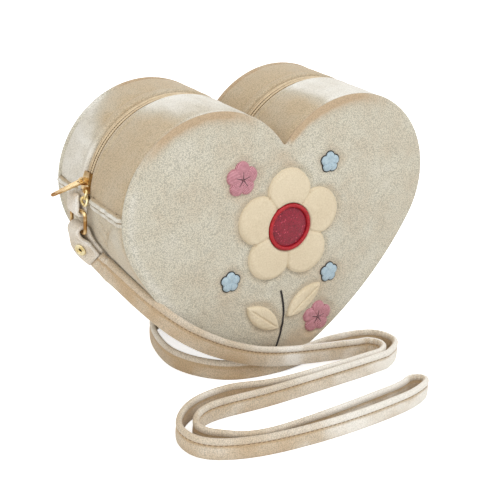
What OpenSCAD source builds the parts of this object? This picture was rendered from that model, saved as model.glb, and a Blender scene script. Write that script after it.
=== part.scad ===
// Heart shaped shoulder purse in padded velvet. A zip runs over both lobes, and a flat padded
// strap hangs from a metal ring at each side and lies folded on the floor before the purse.
// Millimetres. X is the width, the front faces -Y, and the tip of the heart stands at Z = 0.

/* [Heart outline] */
// Width over both lobes
heart_w = 210; // [206:1:220]
// Height from the tip to the top of the lobes
heart_h = 171; // [164:1:180]
// Depth of the cleft below the top of the lobes
cleft_d = 27.1; // [25.5:0.1:28]
// Radius of the rounded tip
tip_r = 14.5; // [12:0.5:18]
// Angle below level at which a lobe runs into its long side arc
shoulder_deg = 29.3; // [27:0.1:32]

/* [Body] */
// Width of the gusset, from seam to seam
gusset_w = 76; // [66:1:86]
// How far each padded panel stands out from its seam
puff = 5.4; // [4.8:0.1:5.5]
// Width of the rounded edge of a panel
edge_w = 5.6; // [5.5:0.1:6.4]
// Thickness of the velvet
velvet_t = 1.2; // [0.9:0.1:1.5]
// Thickness of the foam behind a panel
foam_t = 2.6; // [2:0.1:2.8]
// Thickness of the folded and backed velvet of the gusset
gusset_t = 2.6; // [2.2:0.1:3]
// Thickness of the lining
lining_t = 0.8; // [0.5:0.1:1]
// Width of the raised binding where the gusset meets the end of the zip
binding_w = 5.2; // [4:0.1:6]
// Height of that binding over the gusset
binding_t = 1.4; // [1:0.1:1.6]

/* [Zip] */
// Distance of the zip behind the middle of the gusset
zip_y = 5; // [2:0.5:8]
// Gap between the folded edges beside the zip
zip_gap = 9; // [8.8:0.1:10]
// Width of one tape
tape_w = 13; // [10:0.5:16]
// Thickness of a tape
tape_t = 0.6; // [0.4:0.1:0.8]
// Distance from one tooth of a row to the next
tooth_pitch = 3; // [2.8:0.1:3.6]
// Length of a tooth along the zip
tooth_l = 1.3; // [1:0.05:1.35]
// Reach of a tooth from the middle line over its own tape
tooth_w = 2.5; // [2:0.1:2.9]
// Reach of a tooth past the middle line, between those of the other row
tooth_bite = 0.8; // [0.5:0.1:1]
// Height of a tooth over its tape
tooth_h = 1.5; // [1.2:0.1:1.6]
// Length of an end stop
stop_l = 2; // [1.5:0.1:2.5]
// Distance from the end of the zip to its stop
stop_gap = 0.5; // [0.4:0.1:0.7]
// Distance from the end of the zip to its first tooth
first_tooth = 3.5; // [3.4:0.1:4.2]
// Distance from the cleft to the last tooth of a lobe
cleft_gap = 0.5; // [0.4:0.1:1]

/* [Slider and puller] */
// Length of the slider
slider_l = 11; // [9:0.5:12]
// Width of the slider
slider_w = 8; // [7.6:0.1:8.2]
// Thickness of the slider's plates
plate_t = 1.3; // [1:0.1:1.6]
// Distance of the slider from the end of the zip, along the lobe
slider_from_end = 10.4; // [10.4:0.1:14]
// Radius of the bridge that holds the puller
bridge_r = 2.1; // [1.9:0.1:2.4]
// Thickness of the bridge
bridge_t = 2; // [1.6:0.1:2.4]
// Length of the puller from its pin
puller_l = 20; // [16:0.5:24]
// Width of the puller at the pin
puller_w = 6; // [5.6:0.1:7.4]
// Width of the puller at its free end
puller_tip_w = 3.4; // [3:0.1:5]
// Thickness of the puller
puller_t = 0.9; // [0.8:0.1:1.4]
// Angle from the lobe's radius at which the puller stands out
puller_deg = 27.5; // [15:0.5:30]
// Radius of the puller's pin
pin_r = 0.7; // [0.6:0.05:0.75]
// Wire radius of the two small chain links
link_wire_r = 0.5; // [0.4:0.05:0.55]
// Length of a chain link
link_l = 5.8; // [5.4:0.1:6]
// Width of a chain link
link_w = 3.4; // [3.2:0.1:3.6]

/* [Ring fittings] */
// Outer width of a ring
ring_w = 20.2; // [19.6:0.1:22]
// Distance between the upper and lower bar of a ring
ring_drop = 12.7; // [12.4:0.1:16]
// Wire radius of a ring
wire_r = 1.1; // [0.9:0.05:1.2]
// Corner radius of a ring, at the wire's middle
ring_corner_r = 2.4; // [2:0.1:2.8]
// Width of a tab
tab_w = 11.6; // [10:0.1:12]
// Thickness of one layer of a tab
tab_t = 2.6; // [2.2:0.1:3]
// Height of a tab's seam over the middle of the lobes
tab_rise = 3.9; // [3:0.1:4]
// Height of a ring's upper bar below the middle of the lobes
ring_below = 5.9; // [5.5:0.1:7]
// Distance of the fittings behind the middle line of the zip
fitting_back = 1; // [0:0.1:1.4]

/* [Strap] */
// Width of the strap
strap_w = 13; // [12:0.1:13]
// Thickness of the padded strap
strap_t = 3.6; // [3.2:0.1:3.8]
// Angle at which a strap end leans in towards the gusset
lean_deg = 18; // [16:1:22]
// Angle by which a strap end has turned towards its strap where it is riveted
twist_deg = 25; // [15:1:28]
// Angle at which the strap turns out of its end, in its own plane
kink_deg = 40; // [30:1:44]
// Distance of the rivet below the ring's lower bar
rivet_drop = 12; // [11.5:0.1:13]
// Length of the folded end past the rivet
tail_l = 10; // [8.5:0.1:11]
// Radius of the rivet's head
rivet_r = 3.8; // [3:0.1:4.4]
// Height of the rivet's head
rivet_h = 0.9; // [0.6:0.1:1.2]
// Radius of the rivet's shank
shank_r = 1.5; // [1.2:0.1:1.8]

/* [Flower applique] */
// Distance of the big flower to the right of the middle
flower_x = 3; // [-4:1:8]
// Height of the big flower over the tip
flower_z = 96; // [90:1:100]
// Radius at which the petals are centred
petal_ring_r = 21; // [19:1:23]
// Radius of one petal
petal_r = 15; // [13:0.5:16]
// Thickness of the padded felt
felt_t = 2.2; // [1.4:0.1:2.6]
// Radius of the glitter centre
centre_r = 12; // [9:0.5:13]
// Width of the satin border round the centre
border_w = 2.6; // [1.8:0.1:3.2]
// Thickness of satin stitching
satin_t = 0.9; // [0.5:0.1:1.2]
// Radius of a pink blossom
pink_r = 11; // [9:0.5:12]
// Radius of a blue blossom
blue_r = 6.5; // [5:0.5:7.5]
// Length of a leaf
leaf_l = 30; // [24:1:34]
// Width of a leaf
leaf_w = 13; // [10:0.5:15]
// Width of a stitched stem
stem_w = 1.4; // [1:0.1:1.8]
// Height of a stitched stem
stem_t = 0.5; // [0.3:0.1:0.7]

/* [Clearances] */
// Play between parts that move in each other
play = 0.3; // [0.2:0.05:0.35]
// Gap between pieces that are sewn or glued together
seam_gap = 0.1; // [0.05:0.01:0.15]
// Gap between the teeth and the tape that they are sewn on
tooth_seat = 0.02; // [0.01:0.01:0.04]

/* [Hidden] */
$fn = 96;

// The lobes are circles that meet in the cleft, the sides are long arcs tangent to lobe and tip.
lobe_r = heart_w / 2 + cleft_d - sqrt(heart_w * cleft_d);
lobe_x = heart_w / 2 - lobe_r;
lobe_z = heart_h - lobe_r;
shoulder = [cos(shoulder_deg), -sin(shoulder_deg)];
from_tip = [lobe_x, lobe_z - tip_r] + lobe_r * shoulder;
side_r = (from_tip * from_tip - tip_r * tip_r) / (2 * (from_tip * shoulder - tip_r));
side_x = lobe_x - (side_r - lobe_r) * shoulder.x;
side_z = lobe_z - (side_r - lobe_r) * shoulder.y;
tip_deg = atan2(tip_r - side_z, -side_x);

seam_y = gusset_w / 2;
face_y = seam_y + puff;
edge_r = (edge_w * edge_w + puff * puff) / (2 * puff);
pad_t = velvet_t + seam_gap + foam_t;
wall_t = gusset_t + seam_gap + lining_t;

tape_top = tape_t - gusset_t;
function lobe_deg(distance) = distance / lobe_r * 180 / PI;
teeth_from = 180 - lobe_deg(first_tooth);
teeth_to = acos(lobe_x / lobe_r) + lobe_deg(cleft_gap);
pitch_deg = lobe_deg(tooth_pitch);
stop_deg = 180 - lobe_deg(stop_gap);
slider_deg = 180 - lobe_deg(slider_from_end);
tooth_low = tape_top + tooth_seat;
tooth_high = tape_top + tooth_h;

plate_low = tooth_high + play;
plate_high = plate_low + plate_t;
flange_t = slider_w / 2 - tooth_w - play;
slider_half_deg = lobe_deg(slider_l / 2);
pivot_r = lobe_r + plate_high + bridge_r;
pin_l = bridge_t + 4 * flange_t;
eye_y = zip_y - slider_w / 2 - link_w / 2 - play;
eye_t = 2 * link_wire_r + seam_gap;
eye_hole_r = link_wire_r + 1.5 * play;
eye_r = eye_hole_r + 2 * link_wire_r;
eye_up = plate_high + eye_r;
eye_deg = slider_deg + slider_half_deg - lobe_deg(eye_r);
eye_x = -lobe_x + (lobe_r + eye_up) * cos(eye_deg);
eye_z = lobe_z + (lobe_r + eye_up) * sin(eye_deg);
link_step = link_l - 4 * link_wire_r - seam_gap;

fit_y = zip_y + fitting_back;
bar_x = heart_w / 2 + seam_gap + tab_t + play + wire_r;
upper_bar_z = lobe_z - ring_below;
lower_bar_z = upper_bar_z - ring_drop;
tab_loop_r = wire_r + play + tab_t;
slot_half = 4 * play;
loop_r = wire_r + play + strap_t;
section_shares = [[0.5, 0.24], [0.36, 0.5], [-0.42, 0.5], [-0.5, 0.24],
    [-0.5, -0.24], [-0.42, -0.5], [0.36, -0.5], [0.5, -0.24]];

// Shapes in the plane of the heart are drawn as X and Z and drawn out along Y.
module along_y(y_from, y_to) {
    translate([0, y_to, 0]) rotate([90, 0, 0]) linear_extrude(height = y_to - y_from) children();
}

// Shapes drawn as Y and Z are drawn out along X.
module along_x(x_from, x_to) {
    translate([x_from, 0, 0]) rotate([90, 0, 90]) linear_extrude(height = x_to - x_from) children();
}

// A profile of radius and depth turns about Y, between two angles from +X towards +Z.
module turn_y(deg_from, deg_to) {
    rotate([90, 0, 0]) rotate_extrude(start = deg_from, angle = deg_to - deg_from)
        mirror([0, 1, 0]) children();
}

module mirrored() {
    children();
    mirror([1, 0, 0]) children();
}

// The part of the heart that lies between the side arcs, below the lobes and above the tip.
module between_sides(inset) {
    meet = sqrt(max(0, pow(lobe_r - inset, 2) - lobe_x * lobe_x));
    out = [cos(tip_deg), sin(tip_deg)] * heart_w / 4;
    wide = shoulder * (lobe_r + heart_w / 8);
    polygon([[0, lobe_z + meet], [-lobe_x, lobe_z], [-lobe_x - wide.x, lobe_z + wide.y],
        [-out.x, tip_r + out.y], [0, tip_r], [out.x, tip_r + out.y],
        [lobe_x + wide.x, lobe_z + wide.y], [lobe_x, lobe_z]]);
}

// The heart drawn in by a distance, as its lobes, its tip and the body between the side arcs.
module heart_area(inset) {
    for (side = [-1, 1]) translate([side * lobe_x, lobe_z]) circle(r = lobe_r - inset);
    translate([0, tip_r]) circle(r = tip_r - inset);
    intersection() {
        translate([side_x, side_z]) circle(r = side_r - inset, $fn = 200);
        translate([-side_x, side_z]) circle(r = side_r - inset, $fn = 200);
        between_sides(inset);
    }
}

// The heart's outline as points, drawn in by a distance: from the cleft over the right lobe, down the
// side to the tip, and up again on the left.
lobe_n = 22;
side_n = 8;
tip_n = 4;
rim_n = 4;
outline_n = 2 * (lobe_n + side_n + tip_n);

function arc(centre, r, deg_from, deg_to, t) =
    centre + r * [cos(deg_from + t * (deg_to - deg_from)), sin(deg_from + t * (deg_to - deg_from))];
function half_outline(inset) = concat(
    [for (k = [0 : lobe_n]) arc([lobe_x, lobe_z], lobe_r - inset,
        acos(max(-1, -lobe_x / (lobe_r - inset))), -shoulder_deg, k / lobe_n)],
    [for (k = [1 : side_n]) arc([side_x, side_z], side_r - inset, -shoulder_deg, tip_deg, k / side_n)],
    [for (k = [1 : tip_n]) arc([0, tip_r], tip_r - inset, tip_deg, -90, k / tip_n)]);
function outline(inset) = let(half = half_outline(inset), last = outline_n / 2)
    [for (k = [0 : outline_n - 1]) k <= last ? half[k] : [-half[outline_n - k].x, half[outline_n - k].y]];

// A ring of the rim at a depth below the surface, from 0 at the seam to 1 at the flat face.
function rim_ring(depth, t) = let(r = edge_r - depth, bend = (1 - t) * acos((edge_r - puff) / r))
    [for (p = outline(edge_w - r * sin(bend))) [p.x, edge_r - face_y - r * cos(bend), p.y]];

// The front cushion between two depths, as an outer and an inner skin that meet at the seam.
module cushion_layer(outer, inner) {
    rings = concat([for (j = [0 : rim_n]) rim_ring(outer, j / rim_n)],
        [for (j = [0 : rim_n]) rim_ring(inner, j / rim_n)]);
    n = outline_n;
    deep = (rim_n + 1) * n;
    walls = [for (j = [0 : rim_n - 1]) for (k = [0 : n - 1]) let(m = (k + 1) % n, a = j * n, b = a + n)
        each [[a + k, a + m, b + m], [a + k, b + m, b + k],
            [deep + a + k, deep + b + m, deep + a + m], [deep + a + k, deep + b + k, deep + b + m]]];
    seam = [for (k = [0 : n - 1]) let(m = (k + 1) % n)
        each [[m, k, deep + k], [m, deep + k, deep + m]]];
    faces = [[for (k = [0 : n - 1]) rim_n * n + k], [for (k = [n - 1 : -1 : 0]) deep + rim_n * n + k]];
    polyhedron(points = [for (r = rings) each r], faces = concat(walls, seam, faces));
}

// A wall of the gusset between two depths below the outline, above or below the middle of the lobes.
module wall_area(outer, inner) {
    difference() {
        heart_area(outer);
        heart_area(inner);
    }
}

module upper_wall(outer, inner) {
    intersection() {
        wall_area(outer, inner);
        translate([-heart_w, lobe_z]) square([2 * heart_w, heart_w]);
    }
}

module lower_wall(outer, inner) {
    difference() {
        wall_area(outer, inner);
        translate([-heart_w, lobe_z]) square([2 * heart_w, heart_w]);
    }
}

module front_panel() {
    color("#d9cdb8") cushion_layer(0, velvet_t);
}

module back_panel() {
    color("#d9cdb8") mirror([0, 1, 0]) cushion_layer(0, velvet_t);
}

module front_foam() {
    color("#f0ead8") cushion_layer(velvet_t + seam_gap, pad_t);
}

module back_foam() {
    color("#f0ead8") mirror([0, 1, 0]) cushion_layer(velvet_t + seam_gap, pad_t);
}

module front_lining() {
    color("#c9b79b") along_y(pad_t + seam_gap - face_y, pad_t + seam_gap + lining_t - face_y)
        heart_area(edge_w);
}

module back_lining() {
    color("#c9b79b") mirror([0, 1, 0])
        along_y(pad_t + seam_gap - face_y, pad_t + seam_gap + lining_t - face_y) heart_area(edge_w);
}

// A strip of the upper gusset runs from its panel's seam to a folded edge beside the zip. Its inside is
// let in for the tape.
module zip_strip(y_from, y_to, tape_from, tape_to) {
    difference() {
        along_y(y_from, y_to) upper_wall(0, gusset_t);
        along_y(tape_from, tape_to) heart_area(gusset_t - tape_t - seam_gap);
    }
}

module front_zip_strip() {
    fold = zip_y - zip_gap / 2;
    color("#cdb898") zip_strip(-seam_y, fold, zip_y - tape_w - seam_gap, fold + gusset_t);
}

module back_zip_strip() {
    fold = zip_y + zip_gap / 2;
    color("#d3c2a6") zip_strip(fold, seam_y, fold - gusset_t, zip_y + tape_w + seam_gap);
}

module lower_gusset() {
    color("#dcd2c0") along_y(-seam_y, seam_y) lower_wall(0, gusset_t);
}

module gusset_lining() {
    slot = zip_gap / 2 + seam_gap + play;
    color("#c9b79b") difference() {
        along_y(-seam_y, seam_y) wall_area(gusset_t + seam_gap, wall_t);
        along_y(zip_y - slot, zip_y + slot) intersection() {
            heart_area(0);
            translate([-heart_w, lobe_z]) square([2 * heart_w, heart_w]);
        }
    }
}

// The binding lies over the end of the zip, in front of the tab and behind it.
module right_binding() {
    half_deg = lobe_deg(binding_w / 2);
    color("#e3d9c8") translate([lobe_x, 0, lobe_z]) turn_y(-half_deg, half_deg) {
        free_from = eye_y - link_w / 2 - play;
        free_to = fit_y + ring_w / 2;
        translate([lobe_r + seam_gap, -seam_y]) square([binding_t, seam_y + free_from]);
        translate([lobe_r + seam_gap, free_to]) square([binding_t, seam_y - free_to]);
    }
}

module left_binding() {
    mirror([1, 0, 0]) right_binding();
}

module front_zip_tape() {
    color("#d8c39c") along_y(zip_y - tape_w, zip_y - seam_gap) upper_wall(gusset_t - tape_t, gusset_t);
}

module back_zip_tape() {
    color("#d8c39c") along_y(zip_y + seam_gap, zip_y + tape_w) upper_wall(gusset_t - tape_t, gusset_t);
}

// Places a piece on the left lobe: X is radial, Y stays the depth and Z runs with a growing angle.
module on_left_lobe(deg) {
    translate([-lobe_x, 0, lobe_z]) rotate([0, -deg, 0]) children();
}

// A tooth has a narrow stem on its tape and a wider head between those of the other row.
module tooth() {
    head = tooth_l / 2;
    stem = 0.7 * head;
    along_x(lobe_r + tooth_low, lobe_r + tooth_high)
        polygon([[-tooth_w, -head], [-tooth_w, head], [-tooth_w / 2, stem], [0, head],
            [tooth_bite, 0.8 * head], [tooth_bite, -0.8 * head], [0, -head], [-tooth_w / 2, -stem]]);
}

module front_zip_teeth() {
    color("#d6b878") mirrored() for (k = [0 : floor((teeth_from - teeth_to) / pitch_deg)])
        on_left_lobe(teeth_from - k * pitch_deg) translate([0, zip_y, 0]) tooth();
}

module back_zip_teeth() {
    color("#d6b878") mirrored() for (k = [0 : floor((teeth_from - teeth_to) / pitch_deg) - 1])
        on_left_lobe(teeth_from - (k + 0.5) * pitch_deg) translate([0, zip_y, 0])
            mirror([0, 1, 0]) tooth();
}

module zip_stops() {
    color("#c99a3c") mirrored() translate([-lobe_x, 0, lobe_z])
        turn_y(stop_deg - lobe_deg(stop_l), stop_deg)
        translate([lobe_r + tooth_low, zip_y - tooth_w]) square([tooth_h, 2 * tooth_w]);
}

// A band of the slider, as a box of radius and depth turned about the lobe's centre.
module slider_band(low, high, y_from, y_to) {
    turn_y(-slider_half_deg, slider_half_deg)
        translate([lobe_r + low, y_from]) square([high - low, y_to - y_from]);
}

// Seen from above, the slider is broad at its shoulders and narrower at its tail.
module slider_plan() {
    half = slider_w / 2;
    long = slider_l / 2;
    along_x(0, 2 * lobe_r) translate([zip_y, 0])
        polygon([[-half, long], [half, long], [half, -long / 4], [0.78 * half, -long],
            [-0.78 * half, -long], [-half, -long / 4]]);
}

module zip_slider() {
    half = slider_w / 2;
    color("#c8923a") on_left_lobe(slider_deg) {
        intersection() {
            union() {
                slider_band(plate_low, plate_high, zip_y - half, zip_y + half);
                slider_band(tape_top + play, plate_high, zip_y - half, zip_y - half + flange_t);
                slider_band(tape_top + play, plate_high, zip_y + half - flange_t, zip_y + half);
                slider_band(-gusset_t - play - plate_t, -gusset_t - play, zip_y - half, zip_y + half);
            }
            slider_plan();
        }
        difference() {
            along_y(zip_y - bridge_t / 2, zip_y + bridge_t / 2) {
                translate([pivot_r, 0]) circle(r = bridge_r);
                translate([lobe_r + plate_low, -bridge_r]) square([plate_t + bridge_r, 2 * bridge_r]);
            }
            translate([pivot_r, zip_y, 0]) rotate([90, 0, 0])
                cylinder(r = pin_r + play, h = 2 * bridge_t, center = true);
        }
    }
    // A small eye at the lower front corner carries the chain.
    color("#c8923a") difference() {
        union() {
            on_left_lobe(eye_deg) {
                along_y(eye_y - eye_t / 2, eye_y + eye_t / 2) {
                    translate([lobe_r + eye_up, 0]) circle(r = eye_r);
                    translate([lobe_r + plate_high - plate_t / 2, -eye_r])
                        square([eye_r + plate_t / 2, 2 * eye_r]);
                }
                along_y(eye_y - eye_t / 2, zip_y - 0.7 * half)
                    translate([lobe_r + plate_high - plate_t / 2, -eye_r])
                        square([plate_t / 2, 2 * eye_r]);
            }
        }
        translate([eye_x, eye_y, eye_z]) rotate([90, 0, 0])
            cylinder(r = eye_hole_r, h = 4 * eye_t, center = true);
    }
}

// The puller is a flat tapered plate with a window that leaves a pin to turn in the bridge.
module zip_puller() {
    window = bridge_t + 2 * play;
    half = puller_w / 2;
    tip_half = puller_tip_w / 2;
    color("#d9a94a") on_left_lobe(slider_deg) translate([pivot_r, zip_y, 0])
        rotate([0, -puller_deg, 0]) {
            translate([0, 0, -puller_t / 2]) linear_extrude(height = puller_t) difference() {
                union() {
                    polygon([[0, -half], [puller_l - tip_half, -tip_half],
                        [puller_l - tip_half, tip_half], [0, half]]);
                    translate([puller_l - tip_half, 0]) circle(r = tip_half);
                }
                translate([-bridge_r, -window / 2]) square([2 * bridge_r + 2 * play, window]);
                translate([puller_l - tip_half, 0]) circle(r = tip_half / 2);
            }
            rotate([90, 0, 0]) cylinder(r = pin_r, h = puller_w, center = true);
        }
}

// An oval link of round wire, standing in the plane of X and Z with its long side upright.
module oval_link(long, wide, wire) {
    bend = wide / 2 - wire;
    straight = long / 2 - wide / 2;
    for (side = [-1, 1]) translate([side * bend, 0, 0])
        cylinder(r = wire, h = 2 * straight, center = true);
    translate([0, 0, straight]) turn_y(0, 180) translate([bend, 0]) circle(r = wire);
    translate([0, 0, -straight]) turn_y(180, 360) translate([bend, 0]) circle(r = wire);
}

module chain_link_upper() {
    color("#e6cf8e") translate([eye_x, eye_y, eye_z - link_l / 2 + link_wire_r])
        rotate([0, 0, 90]) oval_link(link_l, link_w, link_wire_r);
}

module chain_link_lower() {
    color("#e6cf8e") translate([eye_x, eye_y, eye_z - link_l / 2 + link_wire_r - link_step])
        oval_link(link_l, link_w, link_wire_r);
}

// The tab is a folded strip: two layers up to the seam, and a loop round the ring's upper bar.
module right_tab() {
    top_z = lobe_z + tab_rise;
    round_r = tab_t;
    out_x = bar_x + tab_loop_r - tab_t / 2;
    color("#ddd2bf") difference() {
        along_y(fit_y + tab_t / 2 - tab_w / 2, fit_y + tab_t / 2 + tab_w / 2) {
            translate([bar_x, upper_bar_z]) circle(r = tab_loop_r);
            translate([bar_x - tab_loop_r, upper_bar_z])
                square([out_x - round_r - bar_x + tab_loop_r, top_z - upper_bar_z]);
            translate([bar_x, upper_bar_z]) square([out_x - bar_x, top_z - round_r - upper_bar_z]);
            translate([out_x - round_r, top_z - round_r]) circle(r = round_r);
        }
        translate([bar_x, fit_y, upper_bar_z]) rotate([90, 0, 0])
            cylinder(r = wire_r + play, h = 2 * ring_w, center = true);
    }
}

module left_tab() {
    mirror([1, 0, 0]) right_tab();
}

// A round wire bent to a rectangle in the plane of Y and Z.
module right_ring() {
    half_y = ring_w / 2 - wire_r;
    half_z = ring_drop / 2;
    bend = ring_corner_r;
    color("#c08a34") translate([bar_x, fit_y, upper_bar_z - half_z]) {
        for (side = [-1, 1]) {
            translate([0, side * half_y, 0])
                cylinder(r = wire_r, h = 2 * (half_z - bend), center = true);
            translate([0, 0, side * half_z]) rotate([90, 0, 0])
                cylinder(r = wire_r, h = 2 * (half_y - bend), center = true);
        }
        for (k = [0 : 3]) {
            side_y = (k == 0 || k == 3) ? 1 : -1;
            side_up = (k < 2) ? 1 : -1;
            translate([0, side_y * (half_y - bend), side_up * (half_z - bend)])
                rotate([90, 0, 90]) rotate_extrude(start = 90 * k, angle = 90)
                    translate([bend, 0]) circle(r = wire_r);
        }
    }
}

module left_ring() {
    mirror([1, 0, 0]) right_ring();
}

// The slot round the lower bar lies level, so that the ring can swing a little in the fold.
module fold_outline(r) {
    rotate(lean_deg) {
        for (side = [-1, 1]) translate([side * slot_half, 0]) circle(r = r);
        square([2 * slot_half, 2 * r], center = true);
    }
}

// Where a line from a point touches a circle.
function touch(centre, r, point, side) = let(v = point - centre,
    a = atan2(v.y, v.x) + side * acos(r / norm(v))) centre + r * [cos(a), sin(a)];

// The strap end in its own frame: the ring's lower bar is the origin, X is outwards, the strap runs
// down along -Z, and it turns towards +Y at the rivet.
module strap_end_shape() {
    outer = slot_half * [cos(lean_deg), sin(lean_deg)];
    foot = [strap_t, -rivet_drop / 2];
    difference() {
        union() {
            along_y(-strap_w / 2, strap_w / 2) {
                fold_outline(loop_r);
                polygon([foot, touch(outer, loop_r, foot, 1), outer, -outer,
                    touch(-outer, loop_r, [-foot.x, foot.y], -1), [-foot.x, foot.y]]);
            }
            rotate([0, 0, twist_deg]) {
                along_y(-strap_w / 2, strap_w / 2)
                    polygon([[-strap_t, -rivet_drop], [strap_t, -rivet_drop], [strap_t, -loop_r],
                        [-strap_t, -loop_r]]);
                translate([0, 0, -rivet_drop]) rotate([0, 90, 0])
                    cylinder(d = strap_w, h = 2 * strap_t, center = true);
                translate([0, 0, -rivet_drop]) rotate([kink_deg, 0, 0])
                    translate([-strap_t, -strap_w / 2, -tail_l]) cube([2 * strap_t, strap_w, tail_l]);
            }
        }
        along_y(-strap_w, strap_w) fold_outline(wire_r + play);
        rotate([0, 0, twist_deg]) translate([0, 0, -rivet_drop]) rotate([0, 90, 0])
            cylinder(r = shank_r + seam_gap / 2, h = 4 * strap_t, center = true);
    }
}

module at_right_bar() {
    translate([bar_x, fit_y, lower_bar_z]) rotate([0, lean_deg, 0]) children();
}

// The left end is the right one turned half round, so it turns towards the front.
module at_left_bar() {
    translate([-bar_x, fit_y, lower_bar_z]) rotate([0, 0, 180]) rotate([0, lean_deg, 0]) children();
}

module right_strap_end() {
    color("#d8c8b0") at_right_bar() strap_end_shape();
}

module left_strap_end() {
    color("#d8c8b0") at_left_bar() strap_end_shape();
}

// An eyelet rivet: a rimmed head outside, a shank through both layers and a flat washer inside.
module rivet_shape() {
    head = strap_t + seam_gap;
    rim = rivet_h / 3;
    rotate([0, 0, twist_deg]) translate([0, 0, -rivet_drop]) rotate([0, 90, 0]) rotate_extrude()
        polygon([[0, -head - rim], [0.8 * rivet_r, -head - rim], [0.8 * rivet_r, -head], [shank_r, -head],
            [shank_r, head], [rivet_r, head], [rivet_r, head + rim], [0.8 * rivet_r, head + rivet_h],
            [0.5 * rivet_r, head + rivet_h], [0.35 * rivet_r, head + rim], [0, head + rim]]);
}

module right_rivet() {
    color("#d9b45c") at_right_bar() rivet_shape();
}

module left_rivet() {
    color("#d9b45c") at_left_bar() rivet_shape();
}

// Points of the strap's middle line, from the left end over the floor to the right end.
strap_points = [[-95, -15, 70.5], [-85, -37, 58.5], [-66, -48, 42], [-38, -50, 25.5], [-4, -51.5, 14],
    [54, -54, 6.7], [65, -57, 6.5], [68, -64, 6.5], [63, -70, 6.5], [50, -71.8, 6.5], [-14, -73, 6.5],
    [-48, -66, 6.5], [-76, -71, 6.5], [-94, -89, 6.5], [-90, -110, 6.5], [-62, -122.5, 6.5],
    [-14, -126.5, 6.5], [34, -123.5, 6.5], [56, -118, 6.5], [62, -112, 6.5], [55, -107.5, 6.5],
    [34, -112.5, 6.5], [-50, -118.5, 6.5], [-79, -106.5, 6.5], [-85, -92, 6.5], [-68, -79, 6.5],
    [-22, -79.3, 6.5], [50, -76.5, 6.5], [68, -73, 6.5], [79, -62, 6.5], [72, -47, 6.5],
    [44, -42, 6.5], [-2, -47, 6.5], [-36, -38, 6.5], [-54, -8, 6.5], [-44, 34, 6.5],
    [-14, 49, 7.5], [24, 49.5, 17.5], [72, 47.5, 45], [95, 29, 67.5]];

function unit(v) = v / norm(v);

// Direction and width direction of the strap where it leaves its right end.
down = [-sin(lean_deg), 0, -cos(lean_deg)];
side_way = [-sin(twist_deg) * cos(lean_deg), cos(twist_deg), sin(twist_deg) * sin(lean_deg)];
leave = cos(kink_deg) * down + sin(kink_deg) * side_way;
leave_up = sin(kink_deg) * -down + cos(kink_deg) * side_way;
end_reach = rivet_drop * down + (tail_l + seam_gap) * leave;
right_end = [bar_x, fit_y, lower_bar_z] + end_reach;
left_end = [-bar_x, fit_y, lower_bar_z] + [-end_reach.x, -end_reach.y, end_reach.z];
start_l = strap_w / 2;
route = concat([left_end, left_end + start_l * [-leave.x, -leave.y, leave.z]], strap_points,
    [right_end + start_l * leave, right_end]);
route_n = len(route);

function before(i) = i == 0 ? 2 * route[0] - route[1] : route[i - 1];
function after(i) = i >= route_n ? 2 * route[route_n - 1] - route[route_n - 2] : route[i];
function spline(i, t) = let(a = before(i), b = route[i], c = route[i + 1], d = after(i + 2))
    (2 * b + (c - a) * t + (2 * a - 5 * b + 4 * c - d) * t * t + (3 * b - a - 3 * c + d) * t * t * t) / 2;

// The strap stands on its lower edge where it lies on the floor.
function clear_of_floor(p) = [p.x, p.y, max(p.z, strap_w / 2)];

line = concat([for (i = [0 : route_n - 2]) each i == 0 || i == route_n - 2 ? [clear_of_floor(route[i])]
    : [clear_of_floor(route[i]), clear_of_floor(spline(i, 0.5))]], [route[route_n - 1]]);
line_n = len(line);

function to_stretch(p, a, b) = norm(p - a - min(1, max(0, (p - a) * (b - a) / ((b - a) * (b - a)))) * (b - a));
least_gap = min([for (i = [0 : line_n - 9]) for (k = [i + 7 : line_n - 2])
    to_stretch(line[i], line[k], line[k + 1])]) - strap_t;
echo(least_gap_of_the_strap = least_gap);

// The strap turns from lying against the gusset to standing on its edge over its first stretch.
turn_share = 0.14;
function edge_up(i) = let(t = i / (line_n - 1), a = min(1, t / turn_share), b = min(1, (1 - t) / turn_share))
    a < 1 ? (1 - a) * [-leave_up.x, -leave_up.y, leave_up.z] + a * [0, 0, 1]
    : (1 - b) * leave_up + b * [0, 0, 1];
function direction(i) = i == 0 ? unit(line[1] - line[0])
    : i == line_n - 1 ? unit(line[i] - line[i - 1]) : unit(unit(line[i + 1] - line[i]) + unit(line[i] - line[i - 1]));
function width_way(i) = let(d = direction(i), u = edge_up(i)) unit(u - (u * d) * d);
function strap_ring(i) = let(w = width_way(i), n = cross(direction(i), w))
    [for (s = section_shares) line[i] + s.x * strap_w * w + s.y * strap_t * n];

module strap() {
    sides = len(section_shares);
    points = [for (i = [0 : line_n - 1]) each strap_ring(i)];
    walls = [for (i = [0 : line_n - 2]) for (k = [0 : sides - 1]) let(m = (k + 1) % sides)
        each [[i * sides + k, i * sides + m, (i + 1) * sides + m],
              [i * sides + k, (i + 1) * sides + m, (i + 1) * sides + k]]];
    caps = [[for (k = [0 : sides - 1]) sides - 1 - k],
        [for (k = [0 : sides - 1]) (line_n - 1) * sides + k]];
    color("#d8c8b0") polyhedron(points = points, faces = concat(walls, caps));
}

// The applique lies on the flat of the front panel.
module on_front(thick) {
    along_y(-face_y - thick, -face_y) children();
}

module round_petals(count, ring, r) {
    for (k = [0 : count - 1]) rotate(90 + k * 360 / count) translate([ring, 0]) circle(r = r);
}

module flower_petals() {
    color("#efe2c2") on_front(felt_t) translate([flower_x, flower_z]) difference() {
        union() {
            round_petals(5, petal_ring_r, petal_r);
            circle(r = petal_ring_r);
        }
        circle(r = centre_r + border_w + seam_gap);
    }
}

module flower_border() {
    color("#b3001b") on_front(felt_t + satin_t) translate([flower_x, flower_z]) difference() {
        circle(r = centre_r + border_w);
        circle(r = centre_r + seam_gap);
    }
}

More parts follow.
